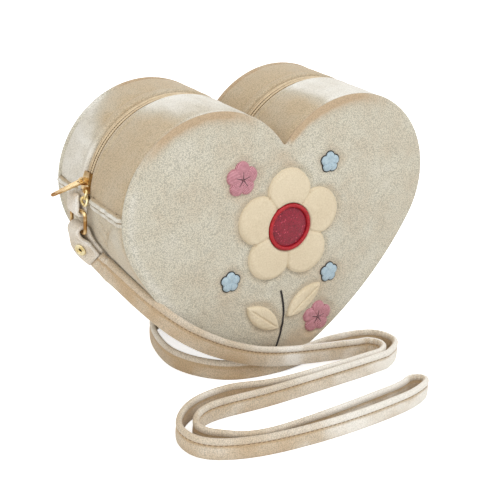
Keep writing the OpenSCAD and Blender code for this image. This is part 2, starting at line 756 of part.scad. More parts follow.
// The centre is a low dome.
module flower_centre() {
    dome_h = felt_t + satin_t / 2;
    dome_r = (centre_r * centre_r + dome_h * dome_h) / (2 * dome_h);
    color("#8c0f24") translate([flower_x, -face_y, flower_z]) rotate([90, 0, 0]) intersection() {
        translate([0, 0, dome_h - dome_r]) sphere(r = dome_r, $fn = 200);
        cylinder(r = centre_r, h = 2 * dome_h);
    }
}

// A leaf is the lens where two circles cross.
module leaf_area() {
    r = (leaf_l * leaf_l + leaf_w * leaf_w) / (4 * leaf_w);
    intersection() {
        translate([leaf_l / 2, r - leaf_w / 2]) circle(r = r);
        translate([leaf_l / 2, leaf_w / 2 - r]) circle(r = r);
    }
}

stem_r = 2 * leaf_l;
leaf_z = flower_z - 2 * leaf_l;

module leaves() {
    color("#eadcbc") on_front(felt_t) {
        translate([flower_x + 2 * stem_w, leaf_z]) rotate(38) leaf_area();
        translate([flower_x - 2 * stem_w, leaf_z - leaf_w / 2]) rotate(142) leaf_area();
    }
}

module blossom(r) {
    round_petals(5, 0.52 * r, 0.46 * r);
    circle(r = 0.52 * r);
}

pink_spots = [[-petal_ring_r - petal_r + pink_r / 2, flower_z + petal_ring_r + 1.2 * pink_r],
    [leaf_l, leaf_z - pink_r / 2]];
blue_spots = [[flower_x + petal_ring_r + petal_r / 2, flower_z + petal_ring_r + petal_r],
    [-petal_ring_r - petal_r, flower_z - petal_ring_r - petal_r / 2],
    [petal_ring_r + petal_r, flower_z - petal_ring_r - petal_r]];

module pink_blossoms() {
    color("#c98190") on_front(satin_t) for (p = pink_spots) translate(p) blossom(pink_r);
}

module blue_blossoms() {
    color("#a9c9dc") on_front(satin_t) for (p = blue_spots) translate(p) blossom(blue_r);
}

// Fine stitched stems are arcs that run down from the big flower.
module stems() {
    color("#1c1a1a") {
        translate([flower_x - stem_r, 0, leaf_z]) turn_y(-20, 18)
            translate([stem_r - stem_w / 2, -face_y - stem_t]) square([stem_w, stem_t]);
    }
}

front_panel();
back_panel();
front_foam();
back_foam();
front_lining();
back_lining();
front_zip_strip();
back_zip_strip();
lower_gusset();
gusset_lining();
left_binding();
right_binding();
front_zip_tape();
back_zip_tape();
front_zip_teeth();
back_zip_teeth();
zip_stops();
zip_slider();
zip_puller();
chain_link_upper();
chain_link_lower();
left_tab();
right_tab();
left_ring();
right_ring();
left_strap_end();
right_strap_end();
left_rivet();
right_rivet();
strap();
flower_petals();
flower_centre();
flower_border();
leaves();
pink_blossoms();
blue_blossoms();
stems();
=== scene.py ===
# %% [markdown]
# A heart shaped shoulder purse in padded velvet. The script dresses a CAD model of the purse: it
# keeps the metal parts of that model and gives every soft part its sewn shape, pile and stitches.
# The plan: the camera and the strap first, then helpers, the body of the purse, its fittings, the
# flower applique, the stitches, and at the end the floor and the lights.

# %% Load the CAD model
import math

import bmesh
import bpy
import numpy as np
from mathutils import Matrix, Vector, noise
from mathutils.bvhtree import BVHTree
from mathutils.geometry import delaunay_2d_cdt


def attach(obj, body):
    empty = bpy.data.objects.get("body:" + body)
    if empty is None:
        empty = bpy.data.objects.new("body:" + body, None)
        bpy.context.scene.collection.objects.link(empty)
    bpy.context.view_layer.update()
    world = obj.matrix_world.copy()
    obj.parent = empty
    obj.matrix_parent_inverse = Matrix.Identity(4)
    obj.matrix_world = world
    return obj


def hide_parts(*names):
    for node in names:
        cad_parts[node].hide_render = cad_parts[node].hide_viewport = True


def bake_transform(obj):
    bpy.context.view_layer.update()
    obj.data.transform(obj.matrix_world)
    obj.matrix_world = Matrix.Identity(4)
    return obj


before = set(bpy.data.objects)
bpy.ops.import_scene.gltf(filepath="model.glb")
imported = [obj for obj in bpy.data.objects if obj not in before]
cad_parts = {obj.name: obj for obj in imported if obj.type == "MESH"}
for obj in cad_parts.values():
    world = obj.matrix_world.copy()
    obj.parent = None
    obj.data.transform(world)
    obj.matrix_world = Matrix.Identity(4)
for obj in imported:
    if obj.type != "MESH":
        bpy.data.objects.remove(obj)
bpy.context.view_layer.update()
MM = 0.001

# %% [markdown]
# A photograph fixes where the camera stood. Here the view is turned 33 degrees from the front and
# looks down by 20 degrees, with a long lens from three quarters of a metre, so that the far side of
# the purse looks only a little smaller. A shift of the lens moves the picture without a new angle.

# %% Camera at the photograph's angle
# Angles are in radians, places in metres, the lens in mm and its shift in shares of the picture.
YAW, PITCH, ROLL = 0.5810779, 0.3578827, 0.0426973
AIM_Z, DISTANCE, CLIP_END = 0.09, 0.7547, 20
LENS, SENSOR_W = 87.16, 36
SHIFT_X, SHIFT_Y = 0.015, -0.0754

forward = Vector((math.sin(YAW) * math.cos(PITCH), math.cos(YAW) * math.cos(PITCH), -math.sin(PITCH)))
level = Vector((math.cos(YAW), -math.sin(YAW), 0))
upward = level.cross(forward)
right = math.cos(ROLL) * level + math.sin(ROLL) * upward
up = -math.sin(ROLL) * level + math.cos(ROLL) * upward
camera = bpy.data.objects.new("camera", bpy.data.cameras.new("camera"))
camera.data.lens = LENS
camera.data.sensor_width = SENSOR_W
camera.data.shift_x = SHIFT_X
camera.data.shift_y = SHIFT_Y
camera.data.clip_end = CLIP_END
camera.matrix_world = Matrix((right, up, -forward)).transposed().to_4x4()
camera.location = Vector((0, 0, AIM_Z)) - DISTANCE * forward
bpy.context.collection.objects.link(camera)
bpy.context.scene.camera = camera
print("camera at", [round(c, 3) for c in camera.location])

# %% [markdown]
# The outline of the heart is made of circle arcs that run into each other: a lobe, a long side and
# a rounded tip, and the same again on the left. Every part of the side wall follows it, so one
# function gives the point at any distance along the outline from the cleft.

# %% The heart outline
HEART_W, HEART_H, CLEFT, TIP_R = 210.0, 171.0, 27.1, 14.5
SHOULDER = math.radians(29.3)
LOBE_R = HEART_W / 2 + CLEFT - math.sqrt(HEART_W * CLEFT)
LOBE_X = HEART_W / 2 - LOBE_R
LOBE_Z = HEART_H - LOBE_R
_shoulder = np.array([math.cos(SHOULDER), -math.sin(SHOULDER)])
_from_tip = np.array([LOBE_X, LOBE_Z - TIP_R]) + LOBE_R * _shoulder
SIDE_R = (_from_tip @ _from_tip - TIP_R ** 2) / (2 * (_from_tip @ _shoulder - TIP_R))
SIDE_X, SIDE_Z = np.array([LOBE_X, LOBE_Z]) - (SIDE_R - LOBE_R) * _shoulder
TIP_A = math.atan2(TIP_R - SIDE_Z, -SIDE_X)
CLEFT_A = math.acos(-LOBE_X / LOBE_R)
LOBE_L = LOBE_R * (CLEFT_A + SHOULDER)
SIDE_L = SIDE_R * (-SHOULDER - TIP_A)
TIP_L = TIP_R * (TIP_A + math.pi / 2)
HALF_L = LOBE_L + SIDE_L + TIP_L
ZIP_END = LOBE_R * CLEFT_A
MITRE_L = 20.0


def place(t, rise=0.0):
    """X and Z of the point t mm along the outline from the cleft, right of it if positive, and
    rise mm outside it."""
    if t > HALF_L:
        t -= 2 * HALF_L
    s = abs(t)
    if s <= LOBE_L:
        mitre = math.acos(max(-1.0, -LOBE_X / (LOBE_R + rise))) - CLEFT_A
        a = CLEFT_A - s / LOBE_R + mitre * max(0.0, 1 - s / MITRE_L)
        x, z = LOBE_X + (LOBE_R + rise) * math.cos(a), LOBE_Z + (LOBE_R + rise) * math.sin(a)
    elif s <= LOBE_L + SIDE_L:
        a = -SHOULDER - (s - LOBE_L) / SIDE_R
        x, z = SIDE_X + (SIDE_R + rise) * math.cos(a), SIDE_Z + (SIDE_R + rise) * math.sin(a)
    else:
        a = TIP_A - (s - LOBE_L - SIDE_L) / TIP_R
        x, z = (TIP_R + rise) * math.cos(a), TIP_R + (TIP_R + rise) * math.sin(a)
    return (x if t >= 0 else -x), z


print("half outline %.1f mm, zip end at %.1f mm" % (HALF_L, ZIP_END))

# %% [markdown]
# The strap is one long flat cord: a padded tube of velvet 13 mm wide, as long as a short shoulder
# strap. It leaves the left ring's strap end, stands on its edge as it loops over the floor in front
# of the purse, passes behind it and climbs to the right ring. The real one keeps a piped edge with a
# line of stitches under it, and its inner side crumples where it turns. It is swept along a smooth
# curve through its route points, because a sweep keeps the section true in every bend.

# %% The route of the strap
STRAP_W, STRAP_T, ROUTE_STEPS = 13.0, 3.6, 12
LEFT_END, LEFT_OUT = (-100.391, 0.116, 77.816), (-97.174, -3.671, 73.626)
RIGHT_OUT, RIGHT_END = (97.174, 15.671, 73.626), (100.391, 11.884, 77.816)
strap_points = [
    (-95, -15, 70.5), (-85, -37, 58.5), (-66, -48, 42), (-38, -50, 25.5), (-4, -51.5, 14),
    (54, -54, 6.7), (65, -57, 6.5), (68, -64, 6.5), (63, -70, 6.5), (50, -71.8, 6.5),
    (-14, -73, 6.5), (-48, -66, 6.5), (-76, -71, 6.5), (-94, -89, 6.5), (-90, -110, 6.5),
    (-62, -122.5, 6.5), (-14, -126.5, 6.5), (34, -123.5, 6.5), (56, -118, 6.5), (62, -112, 6.5),
    (55, -107.5, 6.5), (34, -112.5, 6.5), (-50, -118.5, 6.5), (-79, -106.5, 6.5),
    (-85, -92, 6.5), (-68, -79, 6.5), (-22, -79.3, 6.5), (50, -76.5, 6.5), (68, -73, 6.5),
    (79, -62, 6.5), (72, -47, 6.5), (44, -42, 6.5), (-2, -47, 6.5), (-36, -38, 6.5),
    (-54, -8, 6.5), (-44, 34, 6.5), (-14, 49, 7.5), (24, 49.5, 17.5), (72, 47.5, 45),
    (95, 29, 67.5),
]
route = np.array([LEFT_END, LEFT_OUT, *strap_points, RIGHT_OUT, RIGHT_END], float)


def smooth_line(points, steps):
    """A Catmull-Rom curve through the points, and the share of the route at each of its points."""
    ends = [2 * points[0] - points[1], *points, 2 * points[-1] - points[-2]]
    line, share = [], []
    for i in range(len(points) - 1):
        a, b, c, d = ends[i], ends[i + 1], ends[i + 2], ends[i + 3]
        for k in range(steps):
            t = k / steps
            line.append((2 * b + (c - a) * t + (2 * a - 5 * b + 4 * c - d) * t ** 2
                         + (3 * b - a - 3 * c + d) * t ** 3) / 2)
            share.append((i + t) / (len(points) - 1))
    return np.array([*line, points[-1]]), np.array([*share, 1.0])


strap_line, strap_share = smooth_line(route, ROUTE_STEPS)
strap_line[:, 2] = np.maximum(strap_line[:, 2], STRAP_W / 2)
strap_length = float(np.linalg.norm(np.diff(strap_line, axis=0), axis=1).sum())
print("strap %.0f mm long in %d steps" % (strap_length, len(strap_line)))

# %% [markdown]
# Velvet is drawn by its pile. Where the pile stands towards the eye it looks whitish, and where it
# is brushed away it looks tan. That sheen of the pile is painted into the colour, with painted shade
# in creases, grooves and beside seams and painted highlights along folds and edges: each velvet mesh
# carries an attribute named nap, from 0 for tan to 1 for white, painted by a formula where
# the photograph shows such patches. Small tufts give the speckle of the fibres, and sheen gives the
# soft light along every edge. Materials are built from nodes, and two short functions and a class
# keep that readable.

# %% Colours and nodes
def linear(*seen):
    """A colour as seen on a screen, 0 to 255, as the linear colour that a shader takes."""
    light = [c / 255 / 12.92 if c <= 10 else ((c / 255 + 0.055) / 1.055) ** 2.4 for c in seen]
    return (*light, 1.0)


def grey(share):
    return (share, share, share, 1.0)


def give(node, inputs):
    """Puts a value or another node's output into each of a node's inputs that is named."""
    for key, value in inputs.items():
        if isinstance(value, bpy.types.NodeSocket):
            node.id_data.links.new(value, node.inputs[key])
        else:
            node.inputs[key].default_value = value


def add_node(tree, kind, inputs=None, **settings):
    made = tree.nodes.new(kind)
    for key, value in settings.items():
        setattr(made, key, value)
    give(made, inputs or {})
    return made


class Finish:
    """A material with short calls for the nodes that it is built from."""

    def __init__(self, name, roughness, metallic=0.0):
        self.material = bpy.data.materials.new(name)
        self.material.use_nodes = True
        self.tree = self.material.node_tree
        self.shader = self.tree.nodes["Principled BSDF"]
        give(self.shader, {"Roughness": roughness, "Metallic": metallic})

    def add(self, kind, inputs=None, **settings):
        return add_node(self.tree, "ShaderNode" + kind, inputs, **settings)

    def place(self, stretch=None):
        """A point's place in metres, stretched along each axis where stretch says so."""
        spot = self.add("TexCoord").outputs["Object"]
        if not stretch:
            return spot
        return self.add("Mapping", {"Vector": spot, "Scale": stretch}).outputs["Vector"]

    def attribute(self, name):
        return self.add("Attribute", attribute_name=name).outputs["Fac"]

    def voronoi(self, scale, output):
        return self.add("TexVoronoi", {"Scale": scale, "Vector": self.place()}).outputs[output]

    def cells(self, scale, channel="Red"):
        """A random number from 0 to 1 for each cell of about 1 / scale metres."""
        return self.add("SeparateColor", {"Color": self.voronoi(scale, "Color")}).outputs[channel]

    def tufts(self, scale):
        """Closeness, from 0 to 1, to the nearest of many points about 1 / scale metres apart."""
        return self.math("SUBTRACT", 1.0, self.voronoi(scale, "Distance"))

    def noise(self, scale, detail=2.0, stretch=None):
        """Noise from 0 to 1 with features of about 1 / scale metres."""
        given = {"Scale": scale, "Detail": detail, "Vector": self.place(stretch)}
        return self.add("TexNoise", given).outputs["Fac"]

    def drift(self, scale, size):
        """Noise with a middle of 0 and a given size."""
        return self.times(self.math("SUBTRACT", self.noise(scale, 3), 0.5), size)

    def math(self, operation, a, b=0.0):
        return self.add("Math", {0: a, 1: b}, operation=operation).outputs[0]

    def plus(self, a, b):
        return self.math("ADD", a, b)

    def times(self, a, b):
        return self.math("MULTIPLY", a, b)

    def ramp(self, value, stops):
        made = self.add("ValToRGB", {"Fac": value})
        elements = made.color_ramp.elements
        while len(elements) < len(stops):
            elements.new(0.5)
        for element, (at, colour) in zip(elements, stops):
            element.position = at
            element.color = colour
        return made.outputs["Color"]

    def shaded(self, share, colour, tips):
        """A colour multiplied by another, in full where share is 1."""
        given = {"Factor": share, "A": colour, "B": tips}
        return self.add("Mix", given, data_type="RGBA", blend_type="MULTIPLY").outputs["Result"]

    def colour(self, value):
        give(self.shader, {"Base Color": value})

    def bump(self, height, distance, strength=1.0):
        """Height is a node's output from 0 to 1, distance its size in mm."""
        made = self.add("Bump", {"Strength": strength, "Distance": distance * MM, "Height": height})
        give(self.shader, {"Normal": made.outputs["Normal"]})

    def sheen(self, weight, tint, roughness=0.5):
        give(self.shader, {"Sheen Weight": weight, "Sheen Tint": tint, "Sheen Roughness": roughness})


print("finish helper ready")

# %% [markdown]
# The velvets differ only in their colours and in how strongly the speckle shows: it is strong on the
# panels, weaker on the side walls, and the strap is browner than the body. The nap
# attribute, which holds the painted sheen and shade, is shifted by slow noise, so that a painted
# patch gets the ragged edge that a hand leaves in real pile.

# %% Velvet
RIB_L = 1.3


def velvet(name, tan, middle, pale, speckle, even, ribs=0.0):
    """speckle is the depth of the grain, and even the share of it that is left where the pile is tan."""
    made = Finish(name, 0.92)
    grain, tufts = made.noise(3000, 1), made.tufts(1500)
    pile = made.plus(made.times(grain, 0.35), made.times(tufts, 0.65))
    if ribs:
        rib = made.math("SINE", made.times(made.attribute("run"), 2 * math.pi / RIB_L))
        pile = made.plus(pile, made.times(rib, ribs))
    dim = 1 - speckle
    tips = made.ramp(pile, [(0.36, (dim, dim, dim * 0.98, 1)), (0.64, grey(1))])
    # nap is painted light: the pile's sheen runs towards pale, painted shade towards tan.
    nap = made.plus(made.plus(made.attribute("nap"), made.drift(26, 0.26)), made.drift(170, 0.24))
    clear = made.ramp(nap, [(0.1, grey(even)), (0.4, grey(1)), (0.62, grey(1)), (0.9, grey(0.65))])
    shade = made.ramp(nap, [(0.0, tan), (0.5, middle), (1.0, pale)])
    made.colour(made.shaded(clear, shade, tips))
    made.bump(made.plus(grain, made.times(tufts, 0.3)), 0.3, 0.5)
    made.sheen(0.2, (1.0, 0.97, 0.92, 1.0), 0.45)
    return made.material


body_velvet = velvet("body_velvet", linear(200, 175, 144), linear(223, 217, 199), linear(246, 244, 237),
                     speckle=0.38, even=0.6)
side_velvet = velvet("side_velvet", linear(208, 187, 155), linear(215, 205, 185), linear(244, 241, 233),
                     speckle=0.3, even=1)
strap_velvet = velvet("strap_velvet", linear(205, 178, 143), linear(223, 206, 182), linear(250, 245, 236),
                      speckle=0.3, even=0.8, ribs=0.03)
print("velvets:", body_velvet.name, side_velvet.name, strap_velvet.name)

# %% [markdown]
# Plain fabrics: the lining and the zip's tape are woven, so fine waves cross in them; foam is an open
# sponge; felt is a mat of fibres. Each one is colour with slow variation and a bump at the size of
# its threads.

# %% Plain fabrics
def woven(name, light, dark, threads, height):
    made = Finish(name, 0.85)
    weave = 0.0
    for way in ("X", "Y", "Z"):
        wave = made.add("TexWave", {"Scale": threads, "Vector": made.place()}, bands_direction=way)
        weave = made.plus(weave, wave.outputs["Fac"])
    weave = made.times(weave, 0.33)
    made.colour(made.ramp(made.plus(weave, made.drift(60, 0.5)), [(0.2, dark), (0.8, light)]))
    made.bump(weave, height, 0.8)
    return made.material


def fibrous(name, light, dark, scale, height, sheen=0.0):
    made = Finish(name, 0.95)
    grain = made.noise(scale, 4)
    tone = made.plus(made.times(grain, 0.6), made.times(made.noise(35, 2), 0.4))
    made.colour(made.ramp(tone, [(0.3, dark), (0.7, light)]))
    made.bump(grain, height, 0.6)
    if sheen:
        made.sheen(sheen, (1.0, 0.98, 0.94, 1.0))
    return made.material


lining_cloth = woven("lining_cloth", linear(205, 184, 152), linear(176, 152, 120), 320, 0.2)
zip_weave = woven("zip_weave", linear(168, 142, 108), linear(132, 108, 78), 420, 0.25)
foam_sponge = fibrous("foam_sponge", linear(244, 238, 214), linear(222, 212, 180), 900, 0.5)
cream_felt = fibrous("cream_felt", linear(232, 219, 193), linear(210, 194, 164), 1100, 0.16, 0.06)
print("plain fabrics ready")

# %% [markdown]
# Satin stitch is thread laid side by side. Each satin mesh carries an attribute named across: the
# distance in mm measured across its threads. A sine of it gives the ridge of each thread, in the
# bump and faintly in the colour as a painted highlight on each ridge, and it follows the sewn
# direction whatever shape the piece has.

# %% Thread, satin stitch and glitter
def satin(name, light, dark, width=0.42):
    """width is that of one thread in mm."""
    made = Finish(name, 0.42)
    wave = made.math("SINE", made.times(made.attribute("across"), 2 * math.pi / width))
    ridge = made.times(made.plus(wave, 1.0), 0.5)
    # The ridge lightens the colour: a painted highlight on each thread.
    tone = made.plus(made.times(ridge, 0.5), made.times(made.noise(620, 3), 0.6))
    made.colour(made.ramp(tone, [(0.3, dark), (0.8, light)]))
    made.bump(ridge, 0.14, 0.7)
    made.sheen(0.15, light, 0.4)
    return made.material


def thread(name, light, dark):
    made = Finish(name, 0.6)
    twist = made.noise(1800, 2)
    made.colour(made.ramp(twist, [(0.3, dark), (0.7, light)]))
    made.bump(twist, 0.1, 0.6)
    return made.material


def glitter(name, base, dark, painted_glint):
    made = Finish(name, 0.35)
    # The brightest cells are a painted glint of the flakes, the others their own varied red.
    made.colour(made.ramp(made.cells(1500), [(0.0, dark), (0.7, base), (0.93, base), (1.0, painted_glint)]))
    made.bump(made.cells(1500, "Green"), 0.3, 0.8)
    return made.material


red_satin = satin("red_satin", linear(206, 28, 42), linear(142, 8, 22))
pink_satin = satin("pink_satin", linear(218, 158, 168), linear(156, 92, 104), 0.8)
blue_satin = satin("blue_satin", linear(202, 220, 228), linear(140, 168, 186), 0.6)
red_glitter = glitter("red_glitter", linear(152, 24, 50), linear(112, 12, 34), linear(214, 84, 104))
black_thread = thread("black_thread", linear(52, 46, 46), linear(22, 19, 20))
cream_thread = thread("cream_thread", linear(232, 216, 186), linear(196, 174, 140))
tan_thread = thread("tan_thread", linear(158, 132, 100), linear(118, 94, 68))
print("threads and satins ready")

# %% [markdown]
# The fittings are cast metal with a thin gold plate. Slow noise moves its colour between pale and
# reddish gold as painted reflections, bright and dark, and fine streaks dull it a little. The zip's
# coils are satin nylon with a faint unevenness.

# %% Gold and nylon
def plated_with_painted_light(name, light, dark, roughness, scratch):
    made = Finish(name, roughness, 1.0)
    # Painted reflections: patches of bright and dark gold.
    made.colour(made.ramp(made.noise(180, 3), [(0.34, dark), (0.6, light)]))
    fine = made.noise(2200, 2, stretch=(1, 1, 6))
    give(made.shader, {"Roughness": made.plus(made.times(fine, scratch), roughness)})
    made.bump(fine, 0.03, 0.35)
    return made.material


def nylon(name, light, dark):
    made = Finish(name, 0.38)
    made.colour(made.ramp(made.noise(300, 2), [(0.35, dark), (0.65, light)]))
    made.bump(made.noise(1500, 1), 0.05, 0.4)
    return made.material


gold = plated_with_painted_light("gold", linear(242, 214, 162), linear(166, 122, 70), 0.12, 0.18)
pale_gold = plated_with_painted_light("pale_gold", linear(252, 242, 204), linear(214, 188, 124), 0.14, 0.18)
# Dark metal for the rivet's hollow: painted shade.
shaded_hollow = plated_with_painted_light("shaded_hollow", linear(96, 78, 48), linear(52, 40, 26), 0.5, 0.2)
zip_nylon = nylon("zip_nylon", linear(222, 202, 168), linear(206, 184, 150))
print("metals and nylon ready")

# %% [markdown]
# Mesh helpers. Everything is measured in mm and turned to metres when the mesh is made, so that each
# object sits at the origin with its place in its mesh. A wall of cloth is made of two grids of
# points, its outside and its inside, joined along the four edges; a cord or a strip is a tube.

# %% Mesh helpers
def linked(name, mesh):
    piece = bpy.data.objects.new(name, mesh)
    bpy.context.collection.objects.link(piece)
    return piece


def applied(piece):
    """Works the modifiers of a piece into its mesh."""
    made = bpy.data.meshes.new_from_object(piece.evaluated_get(bpy.context.evaluated_depsgraph_get()))
    piece.modifiers.clear()
    piece.data = made
    made.name = piece.name
    return made


def make_piece(name, points, faces, finish, slot, stands_for=(), body="bag", values=None):
    """A mesh object that rides on a body. values are named numbers for each point."""
    mesh = bpy.data.meshes.new(name)
    mesh.from_pydata((np.asarray(points, float) * MM).tolist(), [], [list(map(int, f)) for f in faces])
    for key, numbers in (values or {}).items():
        layer = mesh.attributes.new(key, "FLOAT", "POINT")
        layer.data.foreach_set("value", np.asarray(numbers, np.float32).ravel())
    made = bmesh.new()
    made.from_mesh(mesh)
    bmesh.ops.recalc_face_normals(made, faces=made.faces)
    made.to_mesh(mesh)
    made.free()
    mesh.shade_smooth()
    mesh.materials.append(finish)
    return settle(linked(name, mesh), slot, stands_for, body)


def settle(piece, slot, stands_for=(), body="bag"):
    """Sets the body and hides what the piece replaces; slot is not used. A piece that bends across a joint
    has no body.
    """
    if body:
        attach(piece, body)
    if stands_for:
        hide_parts(*stands_for)
    return piece


def grid_faces(rows, columns, first=0, loop_rows=False, loop_columns=False):
    faces = []
    for i in range(rows if loop_rows else rows - 1):
        for k in range(columns if loop_columns else columns - 1):
            a, b = i % rows, (i + 1) % rows
            c, d = k % columns, (k + 1) % columns
            faces.append([first + a * columns + c, first + a * columns + d,
                          first + b * columns + d, first + b * columns + c])
    return faces


def wall(outside, inside):
    """Points and faces of a closed wall between two grids of points."""
    rows, columns = outside.shape[:2]
    deep = rows * columns
    faces = grid_faces(rows, columns) + [f[::-1] for f in grid_faces(rows, columns, deep)]
    edge = list(range(columns))
    edge += [i * columns + columns - 1 for i in range(1, rows)]
    edge += [(rows - 1) * columns + k for k in range(columns - 2, -1, -1)]
    edge += [i * columns for i in range(rows - 2, 0, -1)]
    for a, b in zip(edge, edge[1:] + edge[:1]):
        faces.append([b, a, deep + a, deep + b])
    return np.concatenate([outside.reshape(-1, 3), inside.reshape(-1, 3)]), faces


def tube(rings, closed=False):
    """Points and faces of a tube through rings of points, with its ends closed."""
    rings = np.asarray(rings, float)
    count, sides = rings.shape[:2]
    points = rings.reshape(-1, 3)
    faces = grid_faces(count, sides, loop_rows=closed, loop_columns=True)
    if not closed:
        middles = np.array([rings[0].mean(0), rings[-1].mean(0)])
        for end, first in ((0, 0), (1, (count - 1) * sides)):
            for k in range(sides):
                pair = [first + k, first + (k + 1) % sides]
                faces.append((pair[::-1] if end else pair) + [len(points) + end])
        points = np.concatenate([points, middles])
    return points, faces


def rounded(width, thick, corner, steps=4):
    """A closed outline of a rounded rectangle as pairs of width and thickness."""
    out = []
    for quarter in range(4):
        cx = (width / 2 - corner) * (1 if quarter in (0, 3) else -1)
        cy = (thick / 2 - corner) * (1 if quarter in (0, 1) else -1)
        for k in range(steps + 1):
            a = math.pi / 2 * (quarter + k / steps)
            out.append((cx + corner * math.cos(a), cy + corner * math.sin(a)))
    return np.array(out)


def join_parts(parts):
    """Points, faces and values of several parts as those of one mesh."""
    points, faces, values = np.zeros((0, 3)), [], []
    for more, more_faces, more_values in parts:
        faces += [[i + len(points) for i in f] for f in more_faces]
        points = np.concatenate([points, more])
        values += more_values
    return points, faces, values


def runs(*stretches):
    """Places along a line in stretches, each given by its start, its end and its number of places."""
    parts = [np.linspace(*stretch) for stretch in stretches]
    return np.concatenate([part[:-1] for part in parts[:-1]] + [parts[-1]])


def around(count):
    """Angles evenly round a full turn."""
    return [2 * math.pi * k / count for k in range(count)]


def circle(middle, first, second, r, count):
    """Points round a circle that lies in two directions."""
    return [middle + r * (math.cos(a) * first + math.sin(a) * second) for a in around(count)]


def unit(v):
    return v / np.linalg.norm(v)


def bell(x, width):
    """1 where x is 0, and falling smoothly to nearly nothing at twice the width."""
    return math.exp(-((x / width) ** 2))


def soft_step(x, low, high):
    """0 below low, 1 above high, and smooth between them."""
    t = min(1.0, max(0.0, (x - low) / (high - low)))
    return t * t * (3 - 2 * t)


def hill(x, foot, top, top_end, foot_end):
    """Smoothly up from a foot to a top, and down again."""
    return soft_step(x, foot, top) * (1 - soft_step(x, top_end, foot_end))


def wobble(x, y, z, size, seed=0.0):
    """Smooth noise from -1 to 1 with features of about size mm."""
    return noise.noise(Vector((x / size + seed, y / size, z / size - seed)))


print("mesh helpers ready")

# %% [markdown]
# The strap's section is a flat pad with a piped edge on top: a round bead, a groove under it where
# the stitches run, then the flat of the strap. Each ring of the sweep stands square to the route and
# keeps the bead upwards, and turns to lie against the purse over its first and last stretch.

# %% The strap
STRAP_SECTION = [
    (6.5, 0.0), (6.3, 0.9), (5.6, 1.55), (4.6, 1.75), (3.5, 1.6), (2.9, 1.05), (2.3, 1.2), (1.0, 1.55),
    (-1.5, 1.7), (-4.0, 1.6), (-5.4, 1.35), (-6.2, 0.85), (-6.5, 0.0), (-6.2, -0.85), (-5.4, -1.35),
    (-4.0, -1.6), (-1.5, -1.7), (1.0, -1.6), (2.3, -1.5), (2.9, -1.35), (3.5, -1.6), (4.6, -1.75),
    (5.6, -1.55), (6.3, -0.9),
]
EDGE_UP_START = np.array([0.1093, -0.6943, 0.7114])
EDGE_UP_END = np.array([-0.1093, 0.6943, 0.7114])
TURN_SHARE = 0.14


def strap_frames(line, share):
    """At each point of the line: the direction of the strap's width and the one it faces."""
    ways = np.gradient(line, axis=0)
    frames = []
    for way, s in zip(ways, share):
        a, b = min(1.0, s / TURN_SHARE), min(1.0, (1 - s) / TURN_SHARE)
        edge = (1 - a) * EDGE_UP_START + a * np.array([0, 0, 1.0])
        if a >= 1:
            edge = (1 - b) * EDGE_UP_END + b * np.array([0, 0, 1.0])
        way = unit(way)
        width = unit(edge - (edge @ way) * way)
        frames.append((width, np.cross(way, width)))
    return np.array(frames)


strap_frame = strap_frames(strap_line, strap_share)
along = np.concatenate([[0], np.cumsum(np.linalg.norm(np.diff(strap_line, axis=0), axis=1))])
turning = np.zeros(len(strap_line))
for i in range(3, len(strap_line) - 3):
    before, after = strap_line[i] - strap_line[i - 3], strap_line[i + 3] - strap_line[i]
    bend = unit(after) - unit(before)
    turning[i] = (bend @ strap_frame[i, 1]) / max(0.1, (along[i + 3] - along[i - 3]) / 2)
turning = np.convolve(turning, np.ones(5) / 5, "same")

strap_rings, strap_nap_and_shade, strap_run = [], [], []
for i, point in enumerate(strap_line):
    width, face = strap_frame[i]
    ring = []
    fuller = 1 + 0.15 * (1 - soft_step(min(along[i], along[-1] - along[i]), 30, 110))
    for across, thick in STRAP_SECTION:
        inner = thick * turning[i] > 0
        crumple = min(1.0, abs(turning[i]) * 9) if inner else 0.12
        fold = math.sin(along[i] * 1.9 + 1.4 * wobble(*point, 9) + across * 0.35)
        depth = 0.34 * crumple * fold + 0.16 * wobble(*(point + across * width), 5, 3)
        flat = 1 if abs(across) < 5.6 else 0.3
        out = (thick + math.copysign(depth * flat, thick)) * face
        ring.append(point + fuller * (across * width + out))
        brushed = 0.5 * wobble(*point, 42, 5) + 0.36 * wobble(*(point + across * width), 12, 6)
        # Painted light in the strap's tone: one face is painted darker as shade, the inner side of each turn
        # gets painted shade in its crumples, and the groove under the bead a painted shade line. The bead is
        # lighter, the strap lighter towards the right and darker at the far left, and its lower edge a
        # little lighter.
        tone = 0.74 + 0.5 * brushed if across > 3.0 else (0.58 if thick > 0 else 0.26) + 1.1 * brushed
        if inner:
            tone -= 0.30 * crumple * (0.6 + 0.4 * fold)
        else:
            tone += 0.38 * soft_step(point[0], -40, 40) - 0.24 * (1 - soft_step(point[0], -80, -45))
        tone -= 0.55 if 2.2 < across < 3.0 else 0
        strap_nap_and_shade.append(tone + (0.14 if across < -5.9 else 0))
        strap_run.append(along[i])
    strap_rings.append(ring)
points, faces = tube(strap_rings)
strap = make_piece("strap_cord", points, faces, strap_velvet, "strap_velvet", ["strap"],
                   values={"nap": strap_nap_and_shade + [0.4, 0.4], "run": strap_run + [0, along[-1]]})
[c * MM for c in LEFT_END]
print("strap:", len(points), "points, sharpest turn %.3f per mm" % np.abs(turning).max())

# %% [markdown]
# The side wall of the purse is a gusset 81 mm wide. Above the rings it is two strips with the zip
# between them, below them it is one band round the tip. Cloth sewn over a soft wall swells a little
# between its seams, sinks into each seam and rolls over where it is folded beside the zip. Each wall
# is a grid swept along the outline, with that section and with a few soft wrinkles.

# %% Gusset walls
SEAM_Y, FACE_Y, GUSSET_T = 40.4, 43.4, 2.6
FOLD_FRONT, FOLD_BACK = 0.5, 9.5
STANDS_L = 26


def spot(t, y, rise):
    """The point t mm along the outline, y mm across the wall and rise mm outside it."""
    x, z = place(t, rise)
    return (x, y, z)


